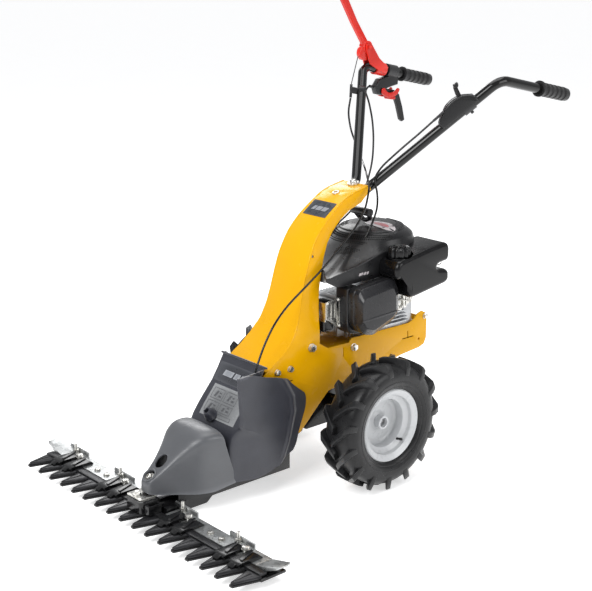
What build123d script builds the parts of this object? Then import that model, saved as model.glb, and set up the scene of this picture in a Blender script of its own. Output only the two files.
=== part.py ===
from build123d import *
import os
from math import cos, sin, tan, radians, degrees, pi, sqrt

# Walk-behind sickle-bar brush mower, in millimetres.
# +Z is up, the cutter bar points along -Y, and +X is the machine's left hand side.
# Sizes below are measured from the ground under the wheel axle; save() moves the
# whole machine along Y so that the origin lies on the ground under mid-length.

os.makedirs("parts", exist_ok=True)

# ---------------------------------------------------------------- driving dimensions
MID_LENGTH_Y = 7.4          # middle of the machine's length, measured from the axle

WHEEL_RADIUS = 165.0         # 3.50-6 tractor tyre
WHEEL_CENTRE_X = {1: 220.0, -1: -178.0}   # left and right wheel, from the centre plane
TYRE_WIDTH = 98.0
WHEEL_PIN_OFFSET = 60.0
CARCASS_RADIUS = 151.0
LUG_COUNT = 15
LUG_WIDTH = 15.0
RIM_FLANGE_RADIUS = 90.0
AXLE_RADIUS = 11.0
AXLE_Z = WHEEL_RADIUS

TOOTH_PITCH = 50.8           # two-inch sickle sections
TOOTH_COUNT = 17
TOOTH_TIP_Y = -617.5
TOOTH_ROOT_Y = -553.0
KNIFE_HALF_STROKE = TOOTH_PITCH / 2
KNIFE_STRIP_HALF_LENGTH = 425.0
FINGER_Z = (18.0, 24.0)
KNIFE_Z = (24.4, 29.6)
STRIP_Y = (TOOTH_ROOT_Y - 2, -536.0)
PLATE_Y = (-533.0, -489.0)
STRIP_TOP_Z = 33.0
PLATE_TOP_Z = 32.0
BAR_STATIONS_X = (-330.2, -127.0, 127.0, 330.2)
STATION_CLIP_OFFSET = TOOTH_PITCH / 2

ROCKER_PIVOT_Y = -377.5
TRAY_FLOOR_Z = 39.4
CRANK_Y = -205.0
HEAD_PIN_Y = -550.0
ROCKER_Z = (45.0, 56.0)
CRANK_RADIUS = KNIFE_HALF_STROKE * (CRANK_Y - ROCKER_PIVOT_Y) / (ROCKER_PIVOT_Y - HEAD_PIN_Y)

FRAME_HALF_WIDTH = 76.0
SHEET = 3.0
DECK_Z = 318.0

ENGINE_Y = 190.0             # vertical crankshaft axis
CUTTER_BELT_Z = 292.0
TRACTION_BELT_Z = 266.0
ENGINE_PULLEY_RADIUS = 32.0
CUTTER_PULLEY_RADIUS = 46.0
TRACTION_PULLEY_RADIUS = 42.0
BELT_THICKNESS = 6.0

WORM_WHEEL_TEETH = 30
WORM_MODULE = 2.8
WORM_WHEEL_RADIUS = WORM_WHEEL_TEETH * WORM_MODULE / 2
WORM_RADIUS = 13.0
WORM_Y = -(WORM_WHEEL_RADIUS + WORM_RADIUS)

HANDLE_TUBE_RADIUS = 12.5
HANDLE_FOOT = (28.0, 146.0, 702.5)
HANDLE_BEND = (239.0, 372.0, 964.0)
GRIP_START = (240.0, 522.0, 932.1)
GRIP_END = (240.0, 633.0, 908.5)
GRIP_RADIUS = 16.5

CABLE_RADIUS = 2.6
RUNNING_CLEARANCE = 0.4


# ---------------------------------------------------------------- construction helpers
def save(node, *solids):
    """Write one node's STEP file, its solids moved to the machine's own origin."""
    shift = Location((0, -MID_LENGTH_Y, 0))
    flat = []
    for shape in solids:
        flat.extend(shape.solids())
    moved = [shift * solid for solid in flat]
    export_step(moved[0] if len(moved) == 1 else Compound(children=moved), f"parts/{node}.step")


def block(x, y, z):
    """Box between two corners, each axis given as (low, high)."""
    centre = [(low + high) / 2 for low, high in (x, y, z)]
    return Pos(*centre) * Box(x[1] - x[0], y[1] - y[0], z[1] - z[0])


def rod(start, end, radius):
    """Round bar between two points."""
    a, b = Vector(start), Vector(end)
    plane = Plane(origin=a, z_dir=(b - a))
    return plane * Cylinder(radius, (b - a).length, align=(Align.CENTER, Align.CENTER, Align.MIN))


def pipe(start, end, outer, inner):
    """Round tube between two points."""
    a, b = Vector(start), Vector(end)
    reach = (b - a).normalized()
    return rod(a, b, outer) - rod(a - reach, b + reach, inner)


def side_plate(points, x0, x1):
    """Flat plate cut to an outline of (y, z) points, between two X planes."""
    outline = make_face(Polyline(*points, close=True))
    return extrude(Plane.YZ.offset(x0) * outline, x1 - x0)


def floor_plate(points, z0, z1):
    """Flat plate cut to an outline of (x, y) points, between two Z planes."""
    outline = make_face(Polyline(*points, close=True))
    return extrude(Plane.XY.offset(z0) * outline, z1 - z0)


def front_plate(points, y0, y1):
    """Flat plate cut to an outline of (x, z) points, between two Y planes."""
    plane = Plane(origin=(0, y1, 0), x_dir=(1, 0, 0), z_dir=(0, -1, 0))
    return extrude(plane * make_face(Polyline(*points, close=True)), y1 - y0)


def swept_tube(points, corner_radii, radius):
    """Round bar along straight runs joined by tangent arcs."""
    path = FilletPolyline(*points, radius=corner_radii)
    section = Plane(origin=path @ 0, z_dir=path % 0) * Circle(radius)
    return sweep(section, path=path)


def hex_bolt(point, direction, across, head, shank_radius, shank):
    """Hexagon head standing on a surface at point, its shank going the other way."""
    plane = Plane(origin=point, z_dir=direction)
    hexagon = extrude(RegularPolygon(across / 2, 6, major_radius=False), head)
    washer = Cylinder(across * 0.62, 1.6, align=(Align.CENTER, Align.CENTER, Align.MIN))
    body = hexagon + washer
    if shank > 0:
        body += Pos(0, 0, -shank) * Cylinder(shank_radius, shank + 1,
                                             align=(Align.CENTER, Align.CENTER, Align.MIN))
    return plane * body


def mirrored(shape):
    """The same part on the machine's other side."""
    return mirror(shape, about=Plane.YZ)


def softened(solid, radius, edges=None):
    """Round the given edges, or leave the solid sharp where they can't take the radius."""
    try:
        return fillet(edges if edges is not None else solid.edges(), radius)
    except ValueError:
        return solid


# ---------------------------------------------------------------- cutter bar
def tooth(x, z0, z1, root_half, tip_half, tip_y, bevel):
    """One truncated triangular tooth, its long edges bevelled on top."""
    outline = [(x - root_half, TOOTH_ROOT_Y), (x - tip_half, tip_y), (x + tip_half, tip_y),
               (x + root_half, TOOTH_ROOT_Y)]
    top = [(x - root_half + bevel, TOOTH_ROOT_Y), (x - tip_half + bevel * 0.35, tip_y + bevel * 0.6),
           (x + tip_half - bevel * 0.35, tip_y + bevel * 0.6), (x + root_half - bevel, TOOTH_ROOT_Y)]
    low = Plane.XY.offset(z0) * make_face(Polyline(*outline, close=True))
    middle = Plane.XY.offset((z0 + z1) / 2) * make_face(Polyline(*outline, close=True))
    high = Plane.XY.offset(z1) * make_face(Polyline(*top, close=True))
    return extrude(low, (z1 - z0) / 2) + loft([middle, high], ruled=True)


def tooth_positions():
    """X of every tooth along the bar."""
    first = -(TOOTH_COUNT - 1) / 2 * TOOTH_PITCH
    return [first + i * TOOTH_PITCH for i in range(TOOTH_COUNT)]


def finger_bar():
    """Fixed lower comb: a flat bar with one blunt finger under each knife section."""
    z0, z1 = FINGER_Z
    bar = block((-432, 432), (TOOTH_ROOT_Y - 4, PLATE_Y[1]), (z0, z1))
    for x in tooth_positions():
        bar += tooth(x, z0, z1, 23.0, 5.5, TOOTH_TIP_Y, 1.5)
    return bar


def knife():
    """Moving knife: bevelled sections riveted to a flat back strip."""
    z0, z1 = KNIFE_Z
    half = KNIFE_STRIP_HALF_LENGTH
    bar = block((-half, half), STRIP_Y, (z0, STRIP_TOP_Z))
    for x in tooth_positions():
        section = tooth(x, z0, z1, 22.5, 5.0, TOOTH_TIP_Y + 4, 5.0)
        section -= block((x - 1.5, x + 1.5), (TOOTH_TIP_Y, TOOTH_ROOT_Y - 8), (z1 - 1.2, z1 + 1))
        bar += section
    for x in (-KNIFE_STRIP_HALF_LENGTH, KNIFE_STRIP_HALF_LENGTH):
        bar = softened(bar, 6, bar.edges().filter_by(Axis.Z).filter_by(
            lambda edge, x=x: abs(edge.center().X - x) < 0.1 and edge.center().Y < STRIP_Y[0] + 1))
    return bar


def knife_head():
    """U-shaped block on the middle of the knife that takes the rocker's round end,
    with a framed window plate on its left cheek."""
    low = STRIP_TOP_Z
    outer = block((-33, 33), (-579, -528), (low, 60))
    outer = softened(outer, 12, outer.edges().filter_by(Axis.Z).group_by(Axis.Y)[0])
    slot = block((-20, 20), (-570, -500), (ROCKER_Z[0] - 5, 62))
    window = block((33, 50), (-570, -534), (low, 54)) - block((36, 47), (-564, -540), (low + 3, 60))
    foot = block((-40, 52), STRIP_Y, (low, low + 3))
    return outer - slot + window + (foot - slot)


def knife_head_clamp():
    """Plate across the top of the knife head, with its nut and the window's bolt."""
    plate = block((-34, 22), (-574, -527), (60.0, 63.0))
    plate = softened(plate, 5, plate.edges().filter_by(Axis.Z))
    nut = hex_bolt((-8, -562, 63), (0, 0, 1), 17, 7, 5, 0)
    stud = rod((-8, -562, 69), (-8, -562, 74), 4.5)
    window_bolt = hex_bolt((41.5, -552, STRIP_TOP_Z + 3), (0, 0, 1), 8, 7, 3, 0)
    return plate + nut + stud, window_bolt


def hold_down_clips():
    """Pressed spring clips in pairs; each lip folds over the knife's back strip."""
    lip, over = KNIFE_Z[1] + 0.5, STRIP_TOP_Z + 0.5
    profile = [(-578, lip), (-580, lip + 2.5), (-572, 37.0), (-558, 40.0), (-509, 40.0), (-503, 35.0),
               (-503, PLATE_TOP_Z), (PLATE_Y[0], PLATE_TOP_Z), (PLATE_Y[0] - 1, over), (-558, over), (-560,
                       lip)]
    clips = []
    for station in BAR_STATIONS_X:
        for side in (-1, 1):
            x = station + side * STATION_CLIP_OFFSET
            clip = side_plate(profile, x - 17, x + 17)
            clip -= block((x - 18, x - 9), (-585, -569), (10, 50))
            clip -= block((x + 9, x + 18), (-585, -569), (10, 50))
            rib = floor_plate([(x - 14, -509), (x - 5, -509), (x + 12, -555), (x + 3, -555)], 39.5, 43.5)
            clips.append(clip + rib)
    return clips


def bar_fasteners():
    """Nuts, bolts and studs that hold the clips and plates to the bar."""
    items = []
    nut_y, stud_y = -516.0, -496.5
    for station in BAR_STATIONS_X:
        foot = rod((station + 1, nut_y, PLATE_TOP_Z), (station + 1, nut_y, 42), 6)
        items.append(hex_bolt((station + 1, nut_y, 41), (0, 0, 1), 14, 8, 4, 0) + foot)
        stud = rod((station - 48, stud_y, PLATE_TOP_Z), (station - 48, stud_y, 58), 4)
        items.append(hex_bolt((station - 48, stud_y, PLATE_TOP_Z), (0, 0, 1), 13, 10, 4, 0) + stud)
    for middle in (-228, 228):
        for offset in (-20, 20):
            items.append(hex_bolt((middle + offset, nut_y, PLATE_TOP_Z), (0, 0, 1), 13, 5, 4, 0))
    return items


def backing_plates():
    """Zinc-plated stiffening plates behind the knife, small guide plates and end shoes."""
    plates = []
    bottom, top = FINGER_Z[1], PLATE_TOP_Z
    front, rear = PLATE_Y
    for side in (-1, 1):
        x0, x1 = sorted((side * 62, side * 388))
        plates.append(block((x0, x1), PLATE_Y, (bottom, top)))
        rise = [(side * 389, bottom), (side * 389, top), (side * 456, 51), (side * 458, 48),
                (side * 404, bottom)]
        shoe = front_plate(rise, front - 8, rear)
        plan = [(side * 389, front), (side * 420, front - 2), (side * 452, front), (side * 458, -510),
                (side * 450, rear - 3), (side * 389, rear)]
        plates.append(shoe & floor_plate(plan, 0, 60))
    for station in BAR_STATIONS_X:
        guide = [(rear + 0.5, bottom), (rear + 0.5, 42), (rear + 4, 43), (rear + 4, bottom)]
        plates.append(side_plate(guide, station - 88, station - 2))
    return plates


def bar_skids():
    """Steel runners under the bar that slide on the ground."""
    skids = []
    for x in (-260, 0, 260):
        profile = [(-556, 18), (-552, 9), (-534, 0), (-494, 0), (-482, 7), (-478, 18)]
        skids.append(side_plate(profile, x - 28, x + 28))
    return skids


def bar_carrier():
    """Black casting that bolts the cutter bar to the crank case."""
    front, rear = PLATE_Y
    base = block((-58, 58), (front + 7, rear), (FINGER_Z[1], 40))
    neck = floor_plate([(-36, rear), (36, rear), (36, -466), (-36, -466)], 18, 36)
    belly = side_plate([(-476, 12), (-400, 12), (-371, 36), (-476, 36)], -44, 44)
    belly = softened(belly, 8, belly.edges().filter_by(Axis.X).group_by(Axis.Z)[0])
    return base + neck + belly


# ---------------------------------------------------------------- cutter drive
def crank_case():
    """Casting between the side plates: a tray over the rocker and the crank's bearing tower."""
    plan = [(-62, -156), (62, -156), (62, -400), (38, -478), (-38, -478), (-62, -400)]
    room = [(-57, -162), (57, -162), (57, -398), (34, -480), (-34, -480), (-57, -398)]
    tray = floor_plate(plan, 36, 84) - floor_plate(room, TRAY_FLOOR_Z, 80) - rod((0, CRANK_Y, 78),
            (0, CRANK_Y, 90), 42)
    tower = rod((0, CRANK_Y, 84), (0, CRANK_Y, 262), 30) + rod((0, CRANK_Y, 80), (0, CRANK_Y, 104), 47)
    bore = rod((0, CRANK_Y, 70), (0, CRANK_Y, 270), 20) + rod((0, CRANK_Y, 70), (0, CRANK_Y, 92), 42)
    ears = block((-72.5, 72.5), (-222, -188), (150, 200)) - bore
    tongue = block((-11, 11), (-530, -476), (67, 72)) + block((-11, 11), (-482, -474), (67, 84))
    case = tray + (tower - bore) + ears + tongue
    return case + rod((0, ROCKER_PIVOT_Y, 36), (0, ROCKER_PIVOT_Y, ROCKER_Z[0] - 0.5), 20) - rod(
        (0, ROCKER_PIVOT_Y, TRAY_FLOOR_Z), (0, ROCKER_PIVOT_Y, 80), 12)


def rocker_arm():
    """Two-armed lever: slotted end over the crank, round end in the knife head."""
    z0, z1 = ROCKER_Z
    front = floor_plate([(-12, HEAD_PIN_Y), (12, HEAD_PIN_Y), (17, ROCKER_PIVOT_Y), (-17, ROCKER_PIVOT_Y)],
                        z0, z1)
    rear = floor_plate([(-17, ROCKER_PIVOT_Y), (17, ROCKER_PIVOT_Y), (18, CRANK_Y + 38),
                        (-18, CRANK_Y + 38)], z0, z1)
    disc = rod((0, HEAD_PIN_Y, z0 - 3), (0, HEAD_PIN_Y, z1), 20 - RUNNING_CLEARANCE)
    boss = rod((0, ROCKER_PIVOT_Y, z0), (0, ROCKER_PIVOT_Y, z1 + 10), 24)
    reach = CRANK_RADIUS + 10
    slot = block((-8.6, 8.6), (CRANK_Y - reach, CRANK_Y + reach), (z0 - 1, z1 + 1))
    return front + rear + disc + boss - slot - rod((0, ROCKER_PIVOT_Y, z0 - 5),
                                                   (0, ROCKER_PIVOT_Y, z1 + 20), 12.05)


def rocker_pivot():
    """Fixed pin that the rocker swings on, between the tray's floor and lid."""
    return rod((0, ROCKER_PIVOT_Y, TRAY_FLOOR_Z), (0, ROCKER_PIVOT_Y, 80), 12)


def cutter_crank():
    """Vertical shaft with a crank disc whose pin drives the rocker's slot."""
    shaft = rod((0, CRANK_Y, 68), (0, CRANK_Y, 302), 10)
    disc = rod((0, CRANK_Y, 64), (0, CRANK_Y, 76), 37)
    pin = rod((0, CRANK_Y - CRANK_RADIUS, ROCKER_Z[1] + 1), (0, CRANK_Y - CRANK_RADIUS, 66), 8)
    return shaft + disc + pin


def grooved_pulley(centre, belt_z, radius, bore, height=14.0):
    """V-belt pulley turned about a vertical axis; the belt's flat inner side is at radius - 4."""
    half = height / 2
    profile = Polyline((bore, -half), (radius + 4, -half), (radius + 4, -half + 2), (radius - 5, -2.5),
                       (radius - 5, 2.5),
                       (radius + 4, half - 2), (radius + 4, half), (bore, half), close=True)
    wheel = revolve(Plane.XZ * make_face(profile), Axis.Z)
    for i in range(5):
        angle = radians(72 * i)
        spot = (bore + radius - 5) / 2
        wheel -= Pos(spot * cos(angle), spot * sin(angle), 0) * Cylinder(max((radius - bore - 16) / 2, 1.5),
                height + 2)
    return Pos(centre[0], centre[1], belt_z) * wheel


def belt(from_y, from_radius, to_y, to_radius, z):
    """V-belt lying round two pulleys, its runs straight between them."""
    def loop(extra):
        first = Pos(0, from_y) * Circle(from_radius + extra)
        second = Pos(0, to_y) * Circle(to_radius + extra)
        return make_hull(first.edges() + second.edges())
    outer = extrude(loop(BELT_THICKNESS / 2), 8)
    inner = extrude(loop(-BELT_THICKNESS / 2), 8)
    return Pos(0, 0, z - 4) * (outer - inner)


def belts():
    """The cutter's long belt above, the traction drive's short one below."""
    upper = belt(ENGINE_Y, ENGINE_PULLEY_RADIUS, CRANK_Y, CUTTER_PULLEY_RADIUS, CUTTER_BELT_Z)
    lower = belt(ENGINE_Y, ENGINE_PULLEY_RADIUS, WORM_Y, TRACTION_PULLEY_RADIUS, TRACTION_BELT_Z)
    return upper, lower


def belt_pulley(centre_y, z, radius, bore):
    """Pulley cut so that it stays clear of the belt in its groove."""
    wheel = grooved_pulley((0, centre_y), z, radius, bore)
    room = pipe((0, centre_y, z - 4.6), (0, centre_y, z + 4.6), radius + 10,
                radius - BELT_THICKNESS / 2 - 0.6)
    return wheel - room


def idler(side, pivot_y, roller_y, x, z, roller_radius):
    """Belt tensioner: a flat arm on a pivot with a roller beside the belt's back."""
    px, rx = side * x, side * x
    arm = floor_plate([(px - 7, pivot_y + 9), (px + 7, pivot_y + 9), (rx + 7, roller_y - 8),
                       (rx - 7, roller_y - 8)], z + 7.5, z + 11.5)
    arm -= rod((px, pivot_y, z), (px, pivot_y, z + 20), 4.1)
    axle = rod((rx, roller_y, z - 6), (rx, roller_y, z + 10), 4)
    roller = pipe((rx, roller_y, z - 6), (rx, roller_y, z + 6), roller_radius, 4)
    return arm + axle + roller


# ---------------------------------------------------------------- frame
COLUMN_FRONT = [(119, 708), (73, 699), (43, 689), (19, 675), (-21, 646), (-53, 615), (-70, 591), (-88, 555),
                (-101, 517),
                (-114, 472), (-125, 432), (-141, 392), (-167, 360), (-195, 337), (-229, 316), (-240, 309)]
COLUMN_REAR = [(125, 697), (92, 669), (49, 655), (17, 636), (-9, 612), (-28, 585), (-40, 555), (-48, 523),
               (-55, 488),
               (-60, 450), (-64, 412), (-68, 372), (-71, 344)]
COLUMN_HALF_WIDTHS = [(720, 50), (699, 47.5), (675, 47.5), (646, 51), (591, 54), (555, 56), (517, 57),
                      (472, 58), (432, 62),
                      (400, 67), (372, 73), (350, FRAME_HALF_WIDTH), (280, FRAME_HALF_WIDTH)]
NECK_HOLES_Y = (50.0, 110.0)
CRADLE_TOP = [(-42, 326), (31, 325), (37, 335), (243, 333), (262, 340), (276, 352), (291, 357), (305, 350),
              (311, 337)]
CRADLE_BOTTOM = [(311, 280), (303, 264), (285, 258), (218, 252), (60, 228), (-40, 215), (-74, 185),
                 (-133, 129), (-225, 120),
                 (-252, 215)]


def column_shell():
    """Gooseneck column pressed from sheet: a front face and two sides, open to the rear."""
    front, rear = COLUMN_FRONT, COLUMN_REAR
    outer = side_plate(front + [(-240, 304), (-71, 304)] + rear[::-1], -90, 90)
    widths = [(w, z) for z, w in COLUMN_HALF_WIDTHS]
    outer &= front_plate(widths + [(-x, z) for x, z in widths[::-1]], -300, 200)
    inner_front = [(y + SHEET * 0.45, z - SHEET) if z > 640 else (y + SHEET, z - SHEET * 0.6) for y,
                   z in front]
    inner = side_plate([(160, 705)] + inner_front + [(-237, 270), (60, 270), (60, 600)], -90, 90)
    narrow = [(w - SHEET, z) for z, w in COLUMN_HALF_WIDTHS]
    narrow[0] = (narrow[0][0], 730)
    narrow[-1] = (narrow[-1][0], 260)
    inner &= front_plate(narrow + [(-x, z) for x, z in narrow[::-1]], -310, 210)
    return outer - inner


def cradle_side(side):
    """Side plate under the engine, with its adjusting slots and the T-shaped slot at the rear."""
    outline = [(-252, 298), (-229, 316), (-195, 337), (-120, 340), (-71, 344)] + CRADLE_TOP + CRADLE_BOTTOM
    x0, x1 = sorted((side * (FRAME_HALF_WIDTH - SHEET), side * FRAME_HALF_WIDTH))
    plate = side_plate(outline, x0, x1)
    through = (-100, 100)
    plate -= block(through, (221, 262), (292.5, 295.5))
    plate -= block(through, (239, 242), (294, 312))
    plate -= rod((-100, 283, 282), (100, 283, 282), 3.5)
    plate -= block(through, (8, 10), (292, 316))
    plate -= block(through, (-190, -158), (268, 271))
    return plate


def main_frame():
    """Column, both side plates, the engine deck and cross members, welded into one frame."""
    half = FRAME_HALF_WIDTH - SHEET
    frame = column_shell() + cradle_side(1) + cradle_side(-1)
    deck = block((-half - 1, half + 1), (-40, 285), (DECK_Z - 4, DECK_Z))
    deck -= rod((0, ENGINE_Y, DECK_Z - 10), (0, ENGINE_Y, DECK_Z + 10), 42)
    rear_wall = block((-half - 1, half + 1), (300, 303), (268, 338))
    cross = block((-half - 1, half + 1), (-120, -117), (205, 300)) - block((-56, 56), (-125, -110),
            (250, 310))
    frame = frame + deck + rear_wall + cross
    for y in NECK_HOLES_Y:
        frame -= rod((0, y, 660), (0, y, 740), 4.5)
    return frame - rod((-100, -76, 560), (100, -76, 560), 3.5)


def under_rails():
    """Black folded rails along the bottom edges of the shield."""
    rail = side_plate([(-345, 58), (-345, 76), (-206, 84), (-206, 62)], 66, 76)
    return rail, mirrored(rail)


def chassis_bolts():
    """Bolts and nuts of the frame, the handlebar and the nose."""
    x = FRAME_HALF_WIDTH
    items = []
    for y, z, across, head in ((-98, 340, 17, 9), (-167, 301, 13, 7), (-208, 301, 13, 7), (44, 311, 15, 9),
                               (303, 341, 12, 8)):
        for side in (-1, 1):
            if side > 0 or y > -150:
                items.append(hex_bolt((side * x, y, z), (side, 0, 0), across, head, 4, 0))
    items.append(hex_bolt((0, NECK_HOLES_Y[1], 708.2), (0, -0.196, 0.98), 13, 6, 4, 44))
    items.append(hex_bolt((0, -521, 72), (0, 0, 1), 13, 8, 4, 0) + rod((0, -521, 79), (0, -521, 90), 4))
    items.append(rod((IDLER_X, CUTTER_IDLER_PIVOT_Y, CUTTER_BELT_Z + 6),
                     (IDLER_X, CUTTER_IDLER_PIVOT_Y, DECK_Z - 4), 4))
    items.append(rod((-IDLER_X, TRACTION_IDLER_PIVOT_Y, TRACTION_BELT_Z + 6),
                     (-IDLER_X, TRACTION_IDLER_PIVOT_Y, DECK_Z - 4), 4))
    return items


IDLER_X = 58.0
CUTTER_IDLER_PIVOT_Y = 90.0
CUTTER_IDLER_ROLLER_Y = 35.0
TRACTION_IDLER_PIVOT_Y = 130.0
TRACTION_IDLER_ROLLER_Y = 80.0


# ---------------------------------------------------------------- plastic covers
def arch_section(y, half_width, top, bottom, radius):
    """Upright face across the nose: straight sides under a rounded crown."""
    w, r = half_width, radius
    outline = (Line((-w, bottom), (w, bottom)) + Line((w, bottom), (w, top - r))
               + RadiusArc((w, top - r), (w - r, top), -r) + Line((w - r, top), (-w + r, top))
               + RadiusArc((-w + r, top), (-w, top - r), -r) + Line((-w, top - r), (-w, bottom)))
    plane = Plane(origin=(0, y, 0), x_dir=(1, 0, 0), z_dir=(0, -1, 0))
    return plane * make_face(outline)


NOSE_SECTIONS = [(-546, 10, 86, 68, 7), (-538, 19, 98, 66, 14), (-500, 33, 124, 58, 20),
                 (-455, 56, 166, 54, 30),
                 (-420, 72, 194, 52, 42), (-385, 80, 197, 52, 48), (-335, 84, 180, 58, 48)]
NOSE_REAR_EDGE = [(-374, 205), (-371, 188), (-366, 161), (-344, 84), (-340, 50)]


def nose_cover():
    """Grey cap over the drive's nose: a rounded beak that widens into shoulders."""
    wall = 3.5
    outer = loft([arch_section(*section) for section in NOSE_SECTIONS])
    inner_sections = [(y + (5 if i == 0 else 0), max(w - wall, 4), t - wall, b - 12, max(r - wall, 3))
                      for i, (y, w, t, b, r) in enumerate(NOSE_SECTIONS)]
    inner = loft([arch_section(*section) for section in inner_sections])
    shell = outer - inner - side_plate(NOSE_REAR_EDGE + [(-300, 50), (-300, 205)], -100, 100)
    shell -= rod((0, -521, 70), (0, -535, 130), 13)
    shell -= rod((0, -484, 100), (0, -505, 150), 15)
    return shell


SHIELD_FACE = [(-250, 318), (-268, 290), (-285, 258), (-327, 212), (-355, 178), (-354, 150), (-337, 90)]
WING_OUTLINE = [(-345, 317), (-276, 320), (-232, 299), (-183, 283), (-156, 255), (-130, 232), (-130, 199),
                (-151, 147),
                (-167, 101), (-191, 88), (-225, 78), (-355, 62), (-356, 120), (-334, 187)]


def front_shield():
    """Dark grey guard below the column: a sloping face, side walls, and a raised wing on the left."""
    wall = 3.5
    face_inner = [(y + 4, z - 2) for y, z in SHIELD_FACE]
    face = side_plate(SHIELD_FACE + face_inner[::-1], -82, 82)
    wing = side_plate(WING_OUTLINE, 96, 96 + wall)
    skirt = [(-350, 150), (-350, 180), (-325, 210), (-283, 256), (-266, 288), (-251, 312), (-200, 290),
             (-170, 240), (-160, 130),
             (-175, 95), (-225, 88), (-335, 88)]
    right_wall = side_plate(skirt, -85, -81)
    lower = [(-337, 66), (-225, 80), (-191, 90), (-167, 103), (-134, 200), (-134, 230), (-156, 253),
             (-183, 281), (-250, 305),
             (-285, 252), (-326, 206), (-350, 176), (-349, 150)]
    bridge = side_plate([(-338, 62), (-225, 78), (-225, 82), (-338, 66)], 78, 98)
    slope = side_plate([(-350, 118), (-329, 186), (-325, 184), (-346, 116)], 82, 98)
    top_lip = side_plate([(-329, 184), (-345, 317), (-276, 320), (-276, 316), (-341, 313), (-325, 184)], 92,
                         98)
    left_wall = side_plate(lower, 80, 84)
    boss = Plane(origin=(-18, -338, 200), z_dir=(0, -0.72, 0.69)) * Cone(17, 9, 16,
            align=(Align.CENTER, Align.CENTER, Align.MIN))
    rear_lip = side_plate([(-156, 255), (-130, 232), (-130, 199), (-151, 147), (-167, 101), (-170, 103),
                           (-154, 149),
                           (-134, 200), (-134, 230), (-158, 251)], 79, 97)
    return face + wing + right_wall + bridge + slope + top_lip + left_wall + boss + rear_lip


# ---------------------------------------------------------------- wheels and traction drive
def wheel_spot(side):
    """Place of a wheel's centre."""
    return Pos(WHEEL_CENTRE_X[side], 0, AXLE_Z)


def revolve_on_axle(points):
    """Ring turned about the X axis from (x, radius) points."""
    return revolve(Plane.XZ * make_face(Polyline(*points, close=True)), Axis.X)


def rim(side):
    """Pressed steel rim: flanges, bead seats and drop centre, a dished disc and a hub tube."""
    tyre_side = [(35.5, 90), (32.5, 83), (30, 77), (20, 75), (15, 62)]
    back_side = [(38, 90), (35.2, 81.5), (31.8, 74.6), (21.8, 72.6), (16.8, 59.6)]
    ring = revolve_on_axle(tyre_side + [(-x, r) for x, r in tyre_side[::-1]]
                           + [(-x, r) for x, r in back_side] + back_side[::-1])
    disc = revolve_on_axle([(-2, 60.5), (-9, 57), (-12, 50), (-12, 15), (-14.5, 15), (-14.5, 51), (-11, 59),
                            (-5, 61.5)])
    hub = revolve_on_axle([(-70, 17), (11, 17), (11, AXLE_RADIUS + 0.3), (-70, AXLE_RADIUS + 0.3)])
    collar = revolve_on_axle([(-13, 21), (-6, 18), (-6, 16), (-13, 16)])
    x = -WHEEL_PIN_OFFSET
    whole = ring + disc + hub + collar - rod((x, 0, -30), (x, 0, 30), 3)
    return wheel_spot(side) * (whole if side > 0 else mirrored(whole))


def tyre(side):
    """Tractor tyre: a hollow carcass with slanted lugs that meet as a V."""
    half = TYRE_WIDTH / 2
    outer = [(-29, 78), (-34.5, 90.5), (-42, 96), (-half + 1, 108), (-half, 118), (-half + 1, 130),
             (-43, 142), (-26, 150),
             (0, CARCASS_RADIUS)]
    outer = outer + [(-x, r) for x, r in outer[-2::-1]]
    inner = [(-22, 78), (-28, 94), (-42, 106), (-44, 118), (-42, 129), (-38, 137), (-22, 142), (0, 143)]
    inner = inner + [(-x, r) for x, r in inner[-2::-1]]
    body = revolve_on_axle(outer + inner[::-1])
    lug = lug_solid()
    for i in range(LUG_COUNT):
        turn = 360.0 / LUG_COUNT * i
        body += Rot(turn, 0, 0) * lug
        body += Rot(turn + 180.0 / LUG_COUNT, 0, 0) * mirrored(lug)
    return wheel_spot(side) * body


def lug_solid():
    """One slanted lug from the tread's middle to its shoulder, at the top of the wheel."""
    half = TYRE_WIDTH / 2
    w = LUG_WIDTH / 2
    sweep_back = 40.0
    plan = [(-3, -w), (-3, w + 4), (half - 7, sweep_back + w), (half, sweep_back + w),
            (half, sweep_back - w),
            (half - 9, sweep_back - w)]
    slab = extrude(Plane.XY.offset(CARCASS_RADIUS - 20) * make_face(Polyline(*plan, close=True)), 45)
    crown = revolve_on_axle([(-10, 100), (-10, WHEEL_RADIUS), (28, WHEEL_RADIUS - 0.5),
                             (41, WHEEL_RADIUS - 6), (half - 1, 146),
                             (half, 130), (40, 122), (20, 122)])
    return slab & crown


def axle():
    """Drive axle through the gearbox, from hub to hub."""
    shaft = rod((WHEEL_CENTRE_X[-1] - 2, 0, AXLE_Z), (WHEEL_CENTRE_X[1] + 2, 0, AXLE_Z), AXLE_RADIUS)
    for pin in wheel_pins():
        shaft -= pin
    return shaft


def wheel_pins():
    """Cross pins that lock each hub tube to the axle."""
    pins = []
    for side in (-1, 1):
        x = WHEEL_CENTRE_X[side] - side * WHEEL_PIN_OFFSET
        pins.append(rod((x, 0, AXLE_Z - 21), (x, 0, AXLE_Z + 21), 3))
    return pins


def worm_wheel():
    """Bronze wheel on the axle, its teeth in mesh with the worm in front of it."""
    radius, depth = WORM_WHEEL_RADIUS, 3.0
    half = 8.0
    wheel = rod((-half, 0, AXLE_Z), (half, 0, AXLE_Z), radius + 1.8) + rod((-14, 0, AXLE_Z),
            (14, 0, AXLE_Z), 20)
    wheel -= rod((-20, 0, AXLE_Z), (20, 0, AXLE_Z), AXLE_RADIUS)
    gap = 5.4
    for i in range(WORM_WHEEL_TEETH):
        cutter = Pos(0, 0, AXLE_Z) * Rot(360 / WORM_WHEEL_TEETH * i, 0, 0) * Pos(0, -(radius + 2),
                0) * Box(2 * half + 2, 2 * depth + 4, gap)
        wheel -= cutter
    return wheel


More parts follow.
